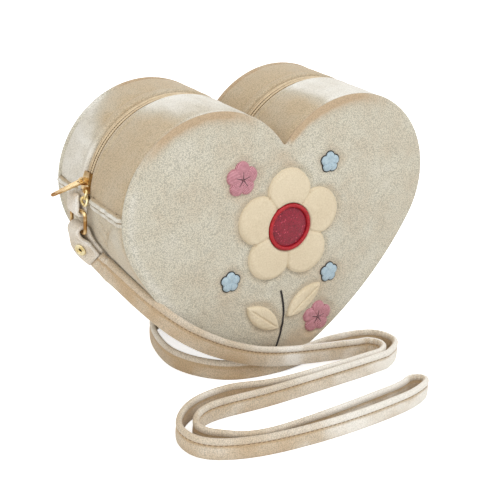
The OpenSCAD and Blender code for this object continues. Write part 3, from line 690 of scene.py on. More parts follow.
def swept_wall(ts, ys, top, low):
    """A wall along the outline between the heights top(t, y) and low."""
    outside = np.array([[spot(t, y, top(t, y)) for y in ys] for t in ts])
    inside = np.array([[spot(t, y, low) for y in ys] for t in ts])
    return wall(outside, inside)


def on_wall(t, y, size, seed=0.0):
    """Smooth noise over the wall."""
    x, z = place(t)
    return wobble(x, y, z, size, seed)


def gusset_wall(name, ts, ys, rise, nap, stands_for):
    points, faces = swept_wall(ts, ys, rise, -GUSSET_T)
    tones = [nap(t, y) for t in ts for y in ys]
    make_piece(name, points, faces, side_velvet, "velvet", stands_for, values={"nap": tones + tones})


def strip_rise(seam, fold, seed, ruck):
    """The height of a strip between its sunken seam and its rolled fold, as a function. The strip is
    pulled down beside the bindings, and ruck is the height of its folds at the cleft."""
    def rise(t, y):
        edge = abs(y - fold)
        swell = 0.5 * math.sin(math.pi * min(1.0, abs(y - seam) / abs(fold - seam) * 1.05)) ** 0.8
        roll = 0.45 * bell(edge - 2.6, 1.9) - 0.3 * bell(edge - 5.6, 1.1)
        round_over = -1.7 * (1 - min(1.0, edge / 1.5)) ** 2
        uneven = 0.22 * on_wall(t, y, 17, seed) + 0.10 * on_wall(t, y, 6, seed + 2)
        pulled = bell(ZIP_END - abs(t), 4.2) - ruck * math.exp(-abs(t) / 9) * math.sin(y / 3.1)
        return swell - 1.1 * bell(y - seam, 1.3) + roll + round_over + uneven - pulled

    return rise


def strip_nap_and_shade(t, y):
    """Painted sheen and shade of the pile: tan where it lies down the sides, whitish swathes of
    painted sheen over the tops of the lobes, and painted highlight lines beside the seam and along
    the fold.
    """
    if y < FOLD_FRONT + 1:
        share = (y + SEAM_Y) / (SEAM_Y + FOLD_FRONT)
        start = -74 - 10 * share
        left = hill(t, start - 12, start + 10, -30, -8)
        right = hill(t, 30 - 6 * share, 48 - 6 * share, 112, 142)
        tone = 0.04 + 0.92 * max(left * (0.72 + 0.28 * share), right)
        # Painted highlights: a whitish line beside the seam and one along the rolled fold.
        tone += 0.3 * bell(y + SEAM_Y - 0.9, 1.3) * bell(abs(t) - 66, 34)
        tone += 0.22 * bell(y - FOLD_FRONT + 1.2, 1.0)
    else:
        share = (y - FOLD_BACK) / (SEAM_Y - FOLD_BACK)
        edge = -114 + 27 * share
        tone = 0.04 + 0.72 * (1 - soft_step(t, edge - 9, edge + 11)) + 0.6 * soft_step(t, 98, 124)
        tone += 0.2 * bell(t + 88, 9) * share
        # Painted highlight along the rolled fold.
        tone += 0.18 * bell(y - FOLD_BACK - 1.2, 1.0)
    return tone + 0.16 * on_wall(t, y, 20, 8) + 0.14 * on_wall(t, y * 0.4, 7, 9)


zip_ts = np.linspace(-ZIP_END, ZIP_END, 221)
front_ys = runs((-SEAM_Y, -SEAM_Y + 3, 5), (-SEAM_Y + 3, FOLD_FRONT - 7, 16),
                (FOLD_FRONT - 7, FOLD_FRONT, 14))
back_ys = runs((FOLD_BACK, FOLD_BACK + 7, 14), (FOLD_BACK + 7, SEAM_Y - 3, 12), (SEAM_Y - 3, SEAM_Y, 5))
gusset_wall("front_strip", zip_ts, front_ys, strip_rise(-SEAM_Y, FOLD_FRONT, 0, 0.35), strip_nap_and_shade,
            ["front_zip_strip"])
gusset_wall("back_strip", zip_ts, back_ys, strip_rise(SEAM_Y, FOLD_BACK, 4, 0), strip_nap_and_shade,
            ["back_zip_strip"])
print("two strips, %d by %d and %d points" % (len(zip_ts), len(front_ys), len(back_ys)))

# %% [markdown]
# The lower band is pulled by the bindings at its two ends, so it puckers there, and a few creases
# run down from them. Each crease is a line with a start, a slant and a length. Where the purse
# stands on its tip, nothing may rise above the outline.

# %% The lower band
CREASES = [(-30, 5.5, 1.1, 16), (-24, 8.5, 0.75, 20), (-14, 6.0, -0.7, 15), (-8, 9.0, -0.3, 24),
           (21, 6.0, 0.6, 18), (27, 9.0, -0.5, 22), (33, 5.5, -1.0, 15)]


def from_binding(t):
    """Distance along the band from the nearer zip end."""
    return min(t - ZIP_END, 2 * HALF_L - t - ZIP_END)


def creases(t, y):
    """How deep the pulled folds are at a place of the band."""
    s = from_binding(t)
    depth = 0.0
    for start, first, slant, long in CREASES:
        part = (s - first) / long
        if -0.3 < part < 1.2:
            off = y - start - slant * (s - first) - 1.2 * math.sin(s / 4)
            depth += 1.2 * bell(off, 0.95) * bell(part - 0.4, 0.4)
    return depth


def lower_rise(t, y):
    from_seam = SEAM_Y - abs(y)
    swell = 0.7 * math.sin(math.pi * min(1.0, from_seam / SEAM_Y) / 2) ** 0.7
    pucker = math.sin(y / 1.9 + 2 * on_wall(t, y, 11)) * min(1.0, from_seam / 4)
    pucker *= 0.38 * math.exp(-from_binding(t) / 16)
    pulled = 1.3 * bell(from_seam, 1.4) + bell(from_binding(t), 4.4) + creases(t, y)
    up = swell + pucker - pulled + 0.42 * on_wall(t, y * 0.6, 15, 9) + 0.16 * on_wall(t, y, 6, 11)
    return min(up, 0.0) if abs(t - HALF_L) < STANDS_L else up


def lower_nap_and_shade(t, y):
    # Painted shade: darker beside the seams and along the creases.
    tone = 0.40 + 0.28 * on_wall(t, y, 20, 12) - 0.25 * bell(SEAM_Y - abs(y), 4)
    return tone - 0.12 * creases(t, y)


low_ts = np.linspace(ZIP_END, 2 * HALF_L - ZIP_END, 280)
low_ys = runs((-SEAM_Y, -SEAM_Y + 4, 6), (-SEAM_Y + 4, SEAM_Y - 4, 100), (SEAM_Y - 4, SEAM_Y, 6))
gusset_wall("lower_band", low_ts, low_ys, lower_rise, lower_nap_and_shade, ["lower_gusset"])
print("lower band, %d by %d points" % (len(low_ts), len(low_ys)))

# %% [markdown]
# Where the zip ends, a folded binding crosses the gusset as two rolls side by side, and hides the
# end of the tape. It stops on either side of the ring's tab.

# %% Bindings over the zip ends
BIND_W, BIND_T, BIND_STEP = 7.6, 2.2, 0.9
BIND_RUNS = [(-SEAM_Y, -3.1), (16.2, SEAM_Y)]
SHADED_GROOVES = (0, 1, 7, 8, 9, 15, 16)


def binding(name, side, stands_for):
    parts = []
    for y_from, y_to in BIND_RUNS:
        rings, tones = [], []
        count = int((y_to - y_from) / BIND_STEP)
        for k in range(count + 1):
            y = y_from + (y_to - y_from) * k / count
            ends = min(1.0, (k + 0.4) / 2, (count - k + 0.4) / 2)
            sway = 0.55 * wobble(0, y, side * 7, 8, 3)
            ring = []
            for j in range(17):
                s = j / 16
                t = ZIP_END + BIND_W * (s + 0.08 * math.sin(2 * math.pi * s) - 0.5) + sway
                bulge = abs(math.sin(2 * math.pi * s)) ** 0.5 * (1.0 if s < 0.5 else 0.8)
                high = -0.6 + (BIND_T + 1.2) * bulge * ends * (1 + 0.2 * wobble(s, y, side * 9, 5, 4))
                ring.append(spot(side * t, y, high))
                # Lighter over the rolls, with painted shade in the grooves between them.
                tones.append(0.82 + 0.25 * wobble(0, y, j, 5) - (0.9 if j in SHADED_GROOVES else 0))
            for j in range(8, -1, -1):
                ring.append(spot(side * (ZIP_END + BIND_W * (j / 8 - 0.5)), y, -0.45))
                tones.append(0.0)
            rings.append(ring)
        parts.append((*tube(rings), tones + [0.5, 0.5]))
    points, faces, tones = join_parts(parts)
    make_piece(name, points, faces, side_velvet, "velvet", stands_for, values={"nap": tones})


binding("left_welt", -1, ["left_binding"])
binding("right_welt", 1, ["right_binding"])
print("bindings done")

# %% [markdown]
# Each padded panel is velvet over foam. Its rim turns from the seam to the flat face. The middle is
# filled with an even mesh of triangles, and a short cloth simulation with a little pressure from
# behind swells it, with the rim pinned, the way foam fills a sewn cover. What the simulation moves is
# capped, so that the panel keeps its size. Then the applique's seams press the velvet down.

# %% Padded panels
EDGE_W = 5.6
RIM_ROWS = [(1.7, 38.8), (1.0, 39.6), (0.3, 40.2), (-0.3, 40.8), (-0.55, 41.5), (-0.35, 42.3), (0.3, 42.9),
            (1.2, 43.2), (2.4, 43.4), (3.9, 43.5), (5.6, 43.6)]
FLOWER = (3.0, 96.0)
PETAL_RING, PETAL_R = 21.0, 15.0
CENTRE_R, BORDER_W = 12.0, 2.6
PINK_R, BLUE_R = 11.0, 6.5
RING_SHARE, PETAL_SHARE = 0.52, 0.46
PINK_SPOTS = [(-30.5, 130.2), (30.0, 30.5)]
BLUE_SPOTS = [(31.5, 132.0), (-36.0, 67.5), (36.0, 60.0)]
FLOWERS = [(*FLOWER, PETAL_RING, PETAL_R)]
FLOWERS += [(*p, RING_SHARE * PINK_R, PETAL_SHARE * PINK_R) for p in PINK_SPOTS]
FLOWERS += [(*p, RING_SHARE * BLUE_R, PETAL_SHARE * BLUE_R) for p in BLUE_SPOTS]
LEAF_L, LEAF_W = 30.0, 13.0
LEAF_R = (LEAF_L ** 2 + LEAF_W ** 2) / (4 * LEAF_W)
LEAVES = [((5.8, 36.0), math.radians(38)), ((0.2, 29.5), math.radians(142))]
FIFTH = 2 * math.pi / 5


def from_petal(angle):
    """The angle to the nearest of five petals, the first of which points up."""
    turn = (angle - math.pi / 2) % FIFTH
    return min(turn, FIFTH - turn)


def petal_reach(angle, ring, petal):
    """How far a flower of five petals reaches from its middle in a direction."""
    off = from_petal(angle)
    return ring * math.cos(off) + math.sqrt(max(0.0, petal ** 2 - (ring * math.sin(off)) ** 2))


def leaf_half(u):
    """Half the width of a leaf at a distance along its vein."""
    return math.sqrt(max(0.0, LEAF_R ** 2 - (u - LEAF_L / 2) ** 2)) - (LEAF_R - LEAF_W / 2)


def on_leaf(x, z, turn):
    """How far a point lies along a leaf's vein, and how far beside it."""
    return x * math.cos(turn) + z * math.sin(turn), z * math.cos(turn) - x * math.sin(turn)


def outside_applique(x, z):
    """Distance in mm from a point of the face to the nearest applique, negative inside one."""
    best = 99.0
    for cx, cz, ring, petal in FLOWERS:
        edge = petal_reach(math.atan2(z - cz, x - cx), ring, petal)
        best = min(best, math.hypot(x - cx, z - cz) - edge)
    for (cx, cz), turn in LEAVES:
        u, v = on_leaf(x - cx, z - cz, turn)
        beside = min(LEAF_L, max(0.0, u))
        over = abs(v) - leaf_half(beside)
        if over > 0 or u != beside:
            over = math.hypot(u - beside, max(0.0, over))
        best = min(best, over)
    return best


def inside_heart(x, z, inset):
    x = abs(x)
    if math.hypot(x - LOBE_X, z - LOBE_Z) < LOBE_R - inset or math.hypot(x, z - TIP_R) < TIP_R - inset:
        return True
    a = math.atan2(z - SIDE_Z, x - SIDE_X)
    return TIP_A < a < -SHOULDER and math.hypot(x - SIDE_X, z - SIDE_Z) < SIDE_R - inset


def panel_sheet(step):
    """The front skin of a panel: points, faces, and each point's inset from the outline."""
    count = int(2 * HALF_L / step)
    points, insets = [], []
    for inset, depth in RIM_ROWS:
        for k in range(count):
            x, z = place(-HALF_L + 2 * HALF_L * (k + 0.5) / count, -inset)
            points.append((x, -depth, z))
            insets.append(inset)
    faces = grid_faces(len(RIM_ROWS), count, loop_columns=True)
    base = len(points) - count
    rim = [Vector((x, z)) for x, _, z in points[base:]]
    edge = np.array([tuple(p) for p in rim])

    def from_rim(x, z):
        return float(np.min(np.hypot(edge[:, 0] - x, edge[:, 1] - z)))

    inner = []
    z, row = 2.0, 0
    while z < HEART_H:
        x = -HEART_W / 2 + (step / 2 if row % 2 else 0)
        while x < HEART_W / 2:
            if inside_heart(x, z, EDGE_W) and from_rim(x, z) > 0.62 * step:
                inner.append(Vector((x, z)))
            x += step
        z += step * 0.866
        row += 1
    ring = list(range(count))
    ring_edges = [(k, (k + 1) % count) for k in ring]
    flat, _, triangles, *_ = delaunay_2d_cdt(rim + inner, ring_edges, [ring], 1, 1e-5)
    index = [base + k for k in ring]
    for p in flat[count:]:
        index.append(len(points))
        points.append((p.x, -RIM_ROWS[-1][1], p.y))
        insets.append(EDGE_W + from_rim(p.x, p.y))
    faces += [[index[i] for i in t] for t in triangles]
    return np.array(points), faces, np.array(insets)


print("panel helpers ready")

# %% Simulate and finish a panel
CROWN, PANEL_STEP, VELVET_T, CLOTH_FRAMES = 2.2, 3.5, 1.1, 20


def swell(sheet, insets):
    """Cloth under a little pressure with its rim pinned: how far each point moved outwards, in mm."""
    rest = np.array([v.co for v in sheet.data.vertices])
    pinned = sheet.vertex_groups.new(name="pinned")
    for i, inset in enumerate(insets):
        pinned.add([i], max(0.0, min(1.0, 1 - (inset - EDGE_W) / 5)), "REPLACE")
    cloth = sheet.modifiers.new("cloth", "CLOTH")
    cloth.settings.quality = 6
    cloth.settings.mass = 0.15
    cloth.settings.tension_stiffness = 12
    cloth.settings.compression_stiffness = 12
    cloth.settings.shear_stiffness = 6
    cloth.settings.bending_stiffness = 1.2
    cloth.settings.vertex_group_mass = "pinned"
    cloth.settings.pin_stiffness = 1
    cloth.settings.shrink_min = -0.012
    cloth.settings.use_pressure = True
    cloth.settings.uniform_pressure_force = 4
    cloth.settings.effector_weights.gravity = 0
    cloth.collision_settings.use_collision = False
    cloth.point_cache.frame_end = CLOTH_FRAMES
    for step in range(1, CLOTH_FRAMES + 1):
        bpy.context.scene.frame_set(step)
    moved = sheet.evaluated_get(bpy.context.evaluated_depsgraph_get())
    now = np.array([v.co for v in moved.data.vertices])
    sheet.modifiers.remove(cloth)
    sheet.vertex_groups.clear()
    bpy.context.scene.frame_set(1)
    return (rest - now)[:, 1] / MM


def panel_rise(name, sheet, insets):
    """How far the panel stands out at each point: the simulated swell, evened by a smooth crown."""
    crown = np.array([CROWN * soft_step(inset, EDGE_W - 2, 52) for inset in insets])
    moved = np.clip(swell(sheet, insets), -0.2, 9)
    reach = max(0.5, float(np.percentile(moved, 98)))
    print("simulated swell of", name, round(reach, 2), "mm")
    return 0.6 * np.minimum(moved * (CROWN / reach), CROWN * 1.25) + 0.4 * crown


def panel_nap_and_shade(x, z, t, inset, depth, front):
    """Painted sheen and shade of the pile: whitish over the face, a painted tan band of shade inside
    the rim of each lobe, painted shade at the cleft and round the applique, a painted highlight along
    the rim on the left, darker low at the right, and like the side wall beside the seam. t is the
    place along the outline and depth the distance from the middle."""
    tone = 0.47 + 0.10 * wobble(x, 0, z, 34, 20) + 0.08 * wobble(x, 0, z, 13, 21)
    lobes = 0.9 * hill(t, -122, -82, -58, -16) + hill(t, 1, 9, 46, 96)
    within = max(0.0, inset - 1.0 - 0.9 * wobble(x, 3, z, 16, 22) - 0.5 * wobble(x, 3, z, 5, 23))
    # Painted shade: a tan band inside the rim of each lobe, and a greyer patch at the cleft.
    tone -= 0.66 * lobes * bell(within, 1.4 + 2.6 * soft_step(abs(t), 4, 34))
    tone -= 0.16 * bell(x, 9) * bell(z - 139, 7)
    # Painted highlight along the rim of the left lobe.
    tone += 0.16 * bell(inset - 3.5, 2.5) * (1 - soft_step(t, -135, -112))
    if front:
        # Painted shade round the applique; the face is also darker low at the right.
        tone -= 0.2 * bell(outside_applique(x, z) - 1.5, 3) * (0.6 + 0.4 * wobble(x, 0, z, 9, 24))
        tone -= 0.3 * bell(x - 20, 26) * bell(z - 16, 12)
    side = SEAM_Y - 1.4
    beside = strip_nap_and_shade(t, -side if front else side) if abs(t) < ZIP_END else lower_nap_and_shade(t, side)
    face = max(soft_step(depth, FACE_Y - 2.0, FACE_Y - 1.2), 1 - soft_step(t, -118, -100))
    return face * tone + (1 - face) * beside


def make_panel(name, front, stands_for):
    points, faces, insets = panel_sheet(PANEL_STEP)
    mesh = bpy.data.meshes.new(name)
    mesh.from_pydata((points * MM).tolist(), [], faces)
    sheet = linked(name, mesh)
    rise = panel_rise(name, sheet, insets)
    out = bmesh.new()
    out.from_mesh(mesh)
    bmesh.ops.recalc_face_normals(out, faces=out.faces)
    out.faces.ensure_lookup_table()
    if sum(f.normal.y * f.calc_area() for f in out.faces) > 0:
        bmesh.ops.reverse_faces(out, faces=out.faces)
    for v, up in zip(out.verts, rise):
        v.co.y -= up * MM
    bmesh.ops.subdivide_edges(out, edges=out.edges, cuts=1, use_grid_fill=True, smooth=0)
    bmesh.ops.smooth_vert(out, verts=[v for v in out.verts if not v.is_boundary], factor=0.4,
                          use_axis_x=True, use_axis_y=True, use_axis_z=True)
    tones = []
    rim_ts = np.linspace(-HALF_L, HALF_L, 620)
    rim = np.array([place(t) for t in rim_ts])
    for v in out.verts:
        x, y, z = v.co / MM
        away = np.hypot(rim[:, 0] - x, rim[:, 1] - z)
        t, inset = float(rim_ts[np.argmin(away)]), float(np.min(away))
        raised = 0.22 * wobble(x, 0, z, 24, 14) + 0.10 * wobble(x, 0, z, 9, 15) * (0.4 + bell(inset - 5, 5))
        if front:
            near = outside_applique(x, z)
            raised += 0.45 * bell(near - 4.5, 2.6) - 0.85 * bell(near - 0.4, 1.5)
        v.co.y -= raised * MM * min(1.0, inset / 4)
        tones.append(panel_nap_and_shade(x, z, t, inset, abs(y), front))
    layer = out.verts.layers.float.new("nap")
    for v, tone in zip(out.verts, tones):
        v[layer] = tone
    if not front:
        for v in out.verts:
            v.co.y *= -1
        bmesh.ops.reverse_faces(out, faces=out.faces)
    out.to_mesh(mesh)
    out.free()
    thick = sheet.modifiers.new("velvet", "SOLIDIFY")
    thick.thickness = VELVET_T * MM
    thick.offset = -1
    solid = applied(sheet)
    solid.shade_smooth()
    solid.materials.clear()
    solid.materials.append(body_velvet)
    settle(sheet, "velvet", stands_for)
    return sheet


front_panel = make_panel("front_cushion", True, ["front_panel"])
make_panel("back_cushion", False, ["back_panel"])
print("panels:", len(front_panel.data.vertices), "points each")

# %% [markdown]
# Inside the cover lie the foam of each panel, the lining and the zip's tapes. They are hardly seen,
# yet they are there when the purse is opened up in a view. The foam and the linings keep the CAD
# shapes with their doubles merged; the tapes get their own sweep with a raised line of sewing.

# %% Foam, linings and tapes
TAPE_TOP, TAPE_LOW = -2.0, -2.6
ZIP_Y, TAPE_W, TAPE_GAP = 5.0, 13.0, 0.1


def soften(name, node, finish, slot):
    """A copy of a CAD node with merged points and a slightly uneven skin."""
    mesh = bpy.data.meshes.new(name)
    made = bmesh.new()
    made.from_mesh(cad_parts[node].data)
    bmesh.ops.remove_doubles(made, verts=made.verts, dist=1e-6)
    for v in made.verts:
        v.co += v.normal * (0.04 * wobble(*(v.co / MM), 5, 30) * MM)
    made.to_mesh(mesh)
    made.free()
    mesh.materials.clear()
    mesh.materials.append(finish)
    mesh.shade_smooth()
    mesh.set_sharp_from_angle(angle=math.radians(40))
    return settle(linked(name, mesh), slot, [node])


def zip_tape(name, y_from, y_to, stands_for):
    """A band with a raised line of sewing beside the edge that carries the teeth."""
    inner_edge = min(y_from, y_to, key=lambda y: abs(y - ZIP_Y))

    def top(t, y):
        return TAPE_TOP + 0.35 * bell(abs(y - inner_edge) - 3.6, 0.4)

    points, faces = swept_wall(zip_ts, np.linspace(y_from, y_to, 23), top, TAPE_LOW)
    make_piece(name, points, faces, zip_weave, "zip_tape", stands_for)


for side in ("front", "back"):
    soften(side + "_pad", side + "_foam", foam_sponge, "foam")
    soften(side + "_inner_cloth", side + "_lining", lining_cloth, "lining")
soften("gusset_inner_cloth", "gusset_lining", lining_cloth, "lining")
zip_tape("front_tape", ZIP_Y - TAPE_W, ZIP_Y - TAPE_GAP, ["front_zip_tape"])
zip_tape("back_tape", ZIP_Y + TAPE_GAP, ZIP_Y + TAPE_W, ["back_zip_tape"])
print("foam, linings and tapes done")

# %% [markdown]
# The teeth of a nylon zip are one wire for each side, wound into a flat coil and sewn along its tape.
# Closed, the two coils lie side by side as two ridged cords. Each is a flat tube whose size swells
# once for each turn, and the swell slants across it as the turns of the wire do. A plain raised
# thread runs along each tape beside the coil.

# %% Zip coils
COIL_TURN, COIL_HALF_W, COIL_HALF_H = 1.5, 0.98, 0.72
COIL_STEPS, COIL_SIDES = 900, 12


def zip_line(name, y_mid, half_w, half_h, low, ridge, slant, finish, slot, stands_for=()):
    """A flat ridged cord along the zip, with its underside at a height of low."""
    rings = []
    for t in np.linspace(1 - ZIP_END, ZIP_END - 1, COIL_STEPS):
        ring = []
        for a in around(COIL_SIDES):
            grow = 1 - ridge * (0.5 - 0.5 * math.cos(2 * math.pi * t / COIL_TURN + slant * math.cos(a)))
            y = y_mid + half_w * (0.4 + 0.6 * grow) * math.cos(a)
            ring.append(spot(t, y, low + half_h + half_h * grow * math.sin(a)))
        rings.append(ring)
    make_piece(name, *tube(rings), finish, slot, stands_for)


for word, way in (("front", -1), ("back", 1)):
    zip_line(word + "_coil", ZIP_Y + way * 1.3, COIL_HALF_W, COIL_HALF_H, TAPE_TOP + 0.03, 0.5, way * 1.1,
             zip_nylon, "zip_nylon", [word + "_zip_teeth"])
    zip_line(word + "_tape_thread", ZIP_Y + way * 3.3, 0.4, 0.5, TAPE_TOP, 0.15, 0, cream_thread, "zip_tape")
print("zip coils done")

# %% [markdown]
# Tabs and strap ends are folded bands. A tab is a short band round the ring's upper bar, sewn into
# the binding. A strap end is the strap itself, turned round the lower bar, riveted through both
# layers and bent back along the purse. Each is swept as two layers from one path, so that the
# layers show along the edge as they do on the real one.

# %% Tabs and strap ends
BAR_X, FIT_Y = 109.1, 6.0
UPPER_BAR_Z = LOBE_Z - 5.9
LOWER_BAR_Z = UPPER_BAR_Z - 12.7
WIRE_R, PLAY = 1.1, 0.3
TAB_T, TAB_W, TAB_H = 2.6, 12.6, 10.1
LEAN, KINK, TWIST = math.radians(18), math.radians(40), math.radians(25)
RIVET_DROP, TAIL_L, TURN_R = 12.0, 10.0, 8.0
SIDES = (("left", -1), ("right", 1))
ACROSS = np.array([0, 1.0, 0])


def band(name, path, width_ways, face_ways, width, thick, nap, crease, spread, stands_for, body="bag"):
    """A soft band along a path. spread widens it at each step."""
    section = rounded(width, thick, min(width, thick) * 0.46)
    rings, tones = [], []
    for k, point in enumerate(path):
        end = min(1.0, (k + 0.6) / 2.0, (len(path) - k - 0.4) / 2.0)
        ring = []
        for across, out in section:
            pillow = 0.72 + 0.36 * (1 - (2 * across / width) ** 2)
            wide = spread[k] * (0.94 + 0.06 * end)
            p = point + across * wide * width_ways[k] + out * pillow * (0.75 + 0.25 * end) * face_ways[k]
            p = p + crease * wobble(*p, 4, 40) * face_ways[k] * (0.5 if abs(out) < thick / 2 - 0.05 else 1)
            ring.append(p)
            # Painted sheen along the band's edges.
            tones.append(nap + (0.2 if abs(across) > width / 2 - 0.8 else 0) + 0.25 * wobble(*p, 6, 41))
        rings.append(ring)
    values = {"nap": tones + [nap, nap]}
    return make_piece(name, *tube(rings), strap_velvet, "strap_velvet", stands_for, body, values)


def ring_tab(name, side, stands_for):
    """From the top of the inner layer down, round the bar, up the outer layer and over its end. Each
    step of the path is its distance out, its height and the angle that it faces."""
    r, bend = WIRE_R + PLAY + TAB_T / 2, TAB_H - 2.6
    path = [(-r, up, math.pi) for up in np.linspace(TAB_H - 0.2, 0, 9)[:-1]]
    path += [(r * math.cos(a), r * math.sin(a), a) for a in np.linspace(math.pi, 2 * math.pi, 15)]
    path += [(r - 0.15, up, 0) for up in np.linspace(0, bend, 8)[1:]]
    path += [(r - 1.6 + 1.45 * math.cos(a), bend + 1.3 * math.sin(a), a)
             for a in np.linspace(0, math.pi / 2, 6)[1:]]
    top = max(up for _, up, _ in path)
    centre = np.array([side * BAR_X, FIT_Y + 1.3, UPPER_BAR_Z])
    spots, outs, spread = [], [], []
    for out, up, a in path:
        spots.append(centre + (side * out, 0, up))
        outs.append(np.array([side * math.cos(a), 0, math.sin(a)]) * (0.76 + 0.24 * soft_step(up, -2, 3)))
        spread.append(0.7 + 0.3 * math.sqrt(soft_step(top - up, -0.3, 4.5)))
    band(name, spots, [ACROSS] * len(path), outs, TAB_W, TAB_T + 0.9, 0.78, 0.25, spread, stands_for)


def twisted(p, low):
    """A strap end turns towards its strap between the loop and the rivet."""
    a = TWIST * soft_step(low, 1.5, 9.5)
    return np.array([p[0] * math.cos(a) - p[1] * math.sin(a), p[0] * math.sin(a) + p[1] * math.cos(a), p[2]])


def end_frame(side):
    """Where a strap end hangs, and the turn that leans it out. The left end is the right one
    turned half round."""
    lean = np.array([[math.cos(LEAN), 0, math.sin(LEAN)], [0, 1, 0], [-math.sin(LEAN), 0, math.cos(LEAN)]])
    return np.array([side * BAR_X, FIT_Y, LOWER_BAR_Z]), np.diag([side, side, 1.0]) @ lean


def strap_end(name, side, stands_for):
    """The top of the fold turns with the ring, and from the rivet on it stays with the bag."""
    bar, move = end_frame(side)
    r, flat = WIRE_R + PLAY + STRAP_T / 2, STRAP_T / 2 + 0.02
    bend_l = TURN_R * math.tan(KINK / 2)
    fold_l = RIVET_DROP - bend_l

    def layer(x):
        """Down one layer, on the side x of the fold: each point, its width and what it faces."""
        path = []
        for s in np.linspace(0, fold_l, 8)[:-1]:
            near = soft_step(s, 0.5, 8)
            path.append(((r * (1 - near) + flat * near) * x, 0.0, -s, 0.0))
        for a in np.linspace(0, KINK, 8):
            path.append((flat * x, TURN_R * (1 - math.cos(a)), -fold_l - TURN_R * math.sin(a), a))
        _, foot_y, foot_z, _ = path[-1]
        for s in np.linspace(0, TAIL_L - bend_l, 6)[1:]:
            path.append((flat * x, foot_y + s * math.sin(KINK), foot_z - s * math.cos(KINK), KINK))
        return [(twisted(p, -p[2]), twisted((0, math.cos(p[3]), math.sin(p[3])), -p[2]),
                 twisted((x, 0, 0), -p[2])) for p in path]

    over = [np.array([math.cos(a), 0, math.sin(a)]) for a in np.linspace(math.pi, 0, 15)[1:-1]]
    steps = layer(-1)[::-1] + [(r * way, ACROSS, way) for way in over] + layer(1)
    spread = [1 + 0.26 * soft_step(-p[2], -1.5, 3.5) * (1 - 0.7 * soft_step(-p[2], 12, 20))
              for p, _, _ in steps]
    spots = [bar + move @ p for p, _, _ in steps]
    widths = [move @ width for _, width, _ in steps]
    outs = [move @ out for _, _, out in steps]
    piece = band(name, spots, widths, outs, STRAP_W, STRAP_T - 0.1, 0.7, 0.18, spread, stands_for, None)
    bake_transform(piece)


for word, side in SIDES:
    ring_tab(word + "_loop_tab", side, [word + "_tab"])
for word, side in SIDES:
    strap_end(word + "_fold", side, [word + "_strap_end"])
print("tabs and strap ends done")

# %% [markdown]
# A rivet is turned metal: a rolled rim, a groove, a second ring and a hollow in the middle, with a
# flat washer on the far side. Its section is a short list of radius and height, spun round the
# rivet's own axis. The hollow is a piece of its own in dark metal: painted shade inside the hole.

# %% Rivets
RIVET_SECTION = [(2.6, -4.05), (3.0, -3.9), (3.0, -3.6), (1.5, -3.6), (1.5, 3.6), (3.5, 3.6), (3.8, 3.85),
                 (3.8, 4.15), (3.55, 4.45), (3.15, 4.55), (2.8, 4.35), (2.5, 4.1), (2.15, 4.25),
                 (1.85, 4.5), (1.5, 4.5), (1.2, 4.2), (1.1, 3.75)]
HOLLOW_SECTION = [(1.15, 3.7), (1.1, 3.95), (0.8, 3.85)]
RIVET_SIDES = 36


def turned(name, side, section, finish, stands_for=()):
    """A section spun round the axis of a rivet, closed at both ends."""
    bar, move = end_frame(side)
    middle = bar + move @ np.array([0, 0, -RIVET_DROP])
    axis = move @ twisted((1.0, 0, 0), RIVET_DROP)
    first = move @ np.array([0, 0, 1.0])
    second = np.cross(axis, first)
    rings = [circle(middle + h * axis, first, second, r, RIVET_SIDES) for r, h in section]
    make_piece(name, *tube(rings), finish, "gold_metal", stands_for)


for word, side in SIDES:
    turned(word + "_rivet_turned", side, RIVET_SECTION, pale_gold, [word + "_rivet"])
    turned(word + "_rivet_hollow", side, HOLLOW_SECTION, shaded_hollow)
print("rivets done")

# %% [markdown]
# Two links hang from the slider's eye. Chain of this kind is twisted, so that each link lies flat
# against the next: the round wire follows an oval that is bent like a propeller.

# %% Chain links
EYE = np.array([-107.614, -1.0, 121.54])
LINK_HALF_L, LINK_HALF_W, LINK_WIRE, LINK_BEND = 2.55, 1.75, 0.87, 0.6
LINK_STEPS, WIRE_SIDES = 48, 14


def curb_link(name, away, drop, facing, stands_for, body):
    """A link whose middle hangs away mm out from the eye and drop mm below it."""
    flat = np.array([math.cos(facing), math.sin(facing), 0])
    square = np.array([-math.sin(facing), math.cos(facing), 0])
    middle = EYE + (-away, 0, -drop)
    line = [middle + (0, 0, LINK_HALF_L * math.cos(a)) + LINK_HALF_W * math.sin(a) * flat
            + LINK_BEND * math.sin(2 * a) * square for a in around(LINK_STEPS)]
    rings = []
    for k, point in enumerate(line):
        way = unit(line[(k + 1) % LINK_STEPS] - line[k - 1])
        first = unit(square - (square @ way) * way)
        rings.append(circle(point, first, np.cross(way, first), LINK_WIRE, WIRE_SIDES))
    make_piece(name, *tube(rings, closed=True), pale_gold, "pale_gold", stands_for, body)


curb_link("upper_curb_link", 0.1, 2.4, math.radians(60), ["chain_link_upper"], "upper_link")
curb_link("lower_curb_link", 0.95, 6.4, math.radians(-50), ["chain_link_lower"], "lower_link")
print("chain done")

# %% [markdown]
# The flower applique is padded felt and satin stitch sewn onto the front. Every patch in it can be
# described from its own middle by how far it reaches in each direction, so one function makes them
# all: rings of points from the middle to the edge, laid on the simulated velvet by a ray cast.

# %% Applique helper
face_tree = BVHTree.FromObject(front_panel, bpy.context.evaluated_depsgraph_get())
FELT_T, SATIN_T, SUNK = 2.2, 0.9, 0.25


def face_y(x, z):
    """Y of the front velvet at a place on the face, in mm."""
    hit = face_tree.ray_cast(Vector((x * MM, -0.2, z * MM)), Vector((0, 1, 0)))[0]
    return hit.y / MM if hit else -FACE_Y


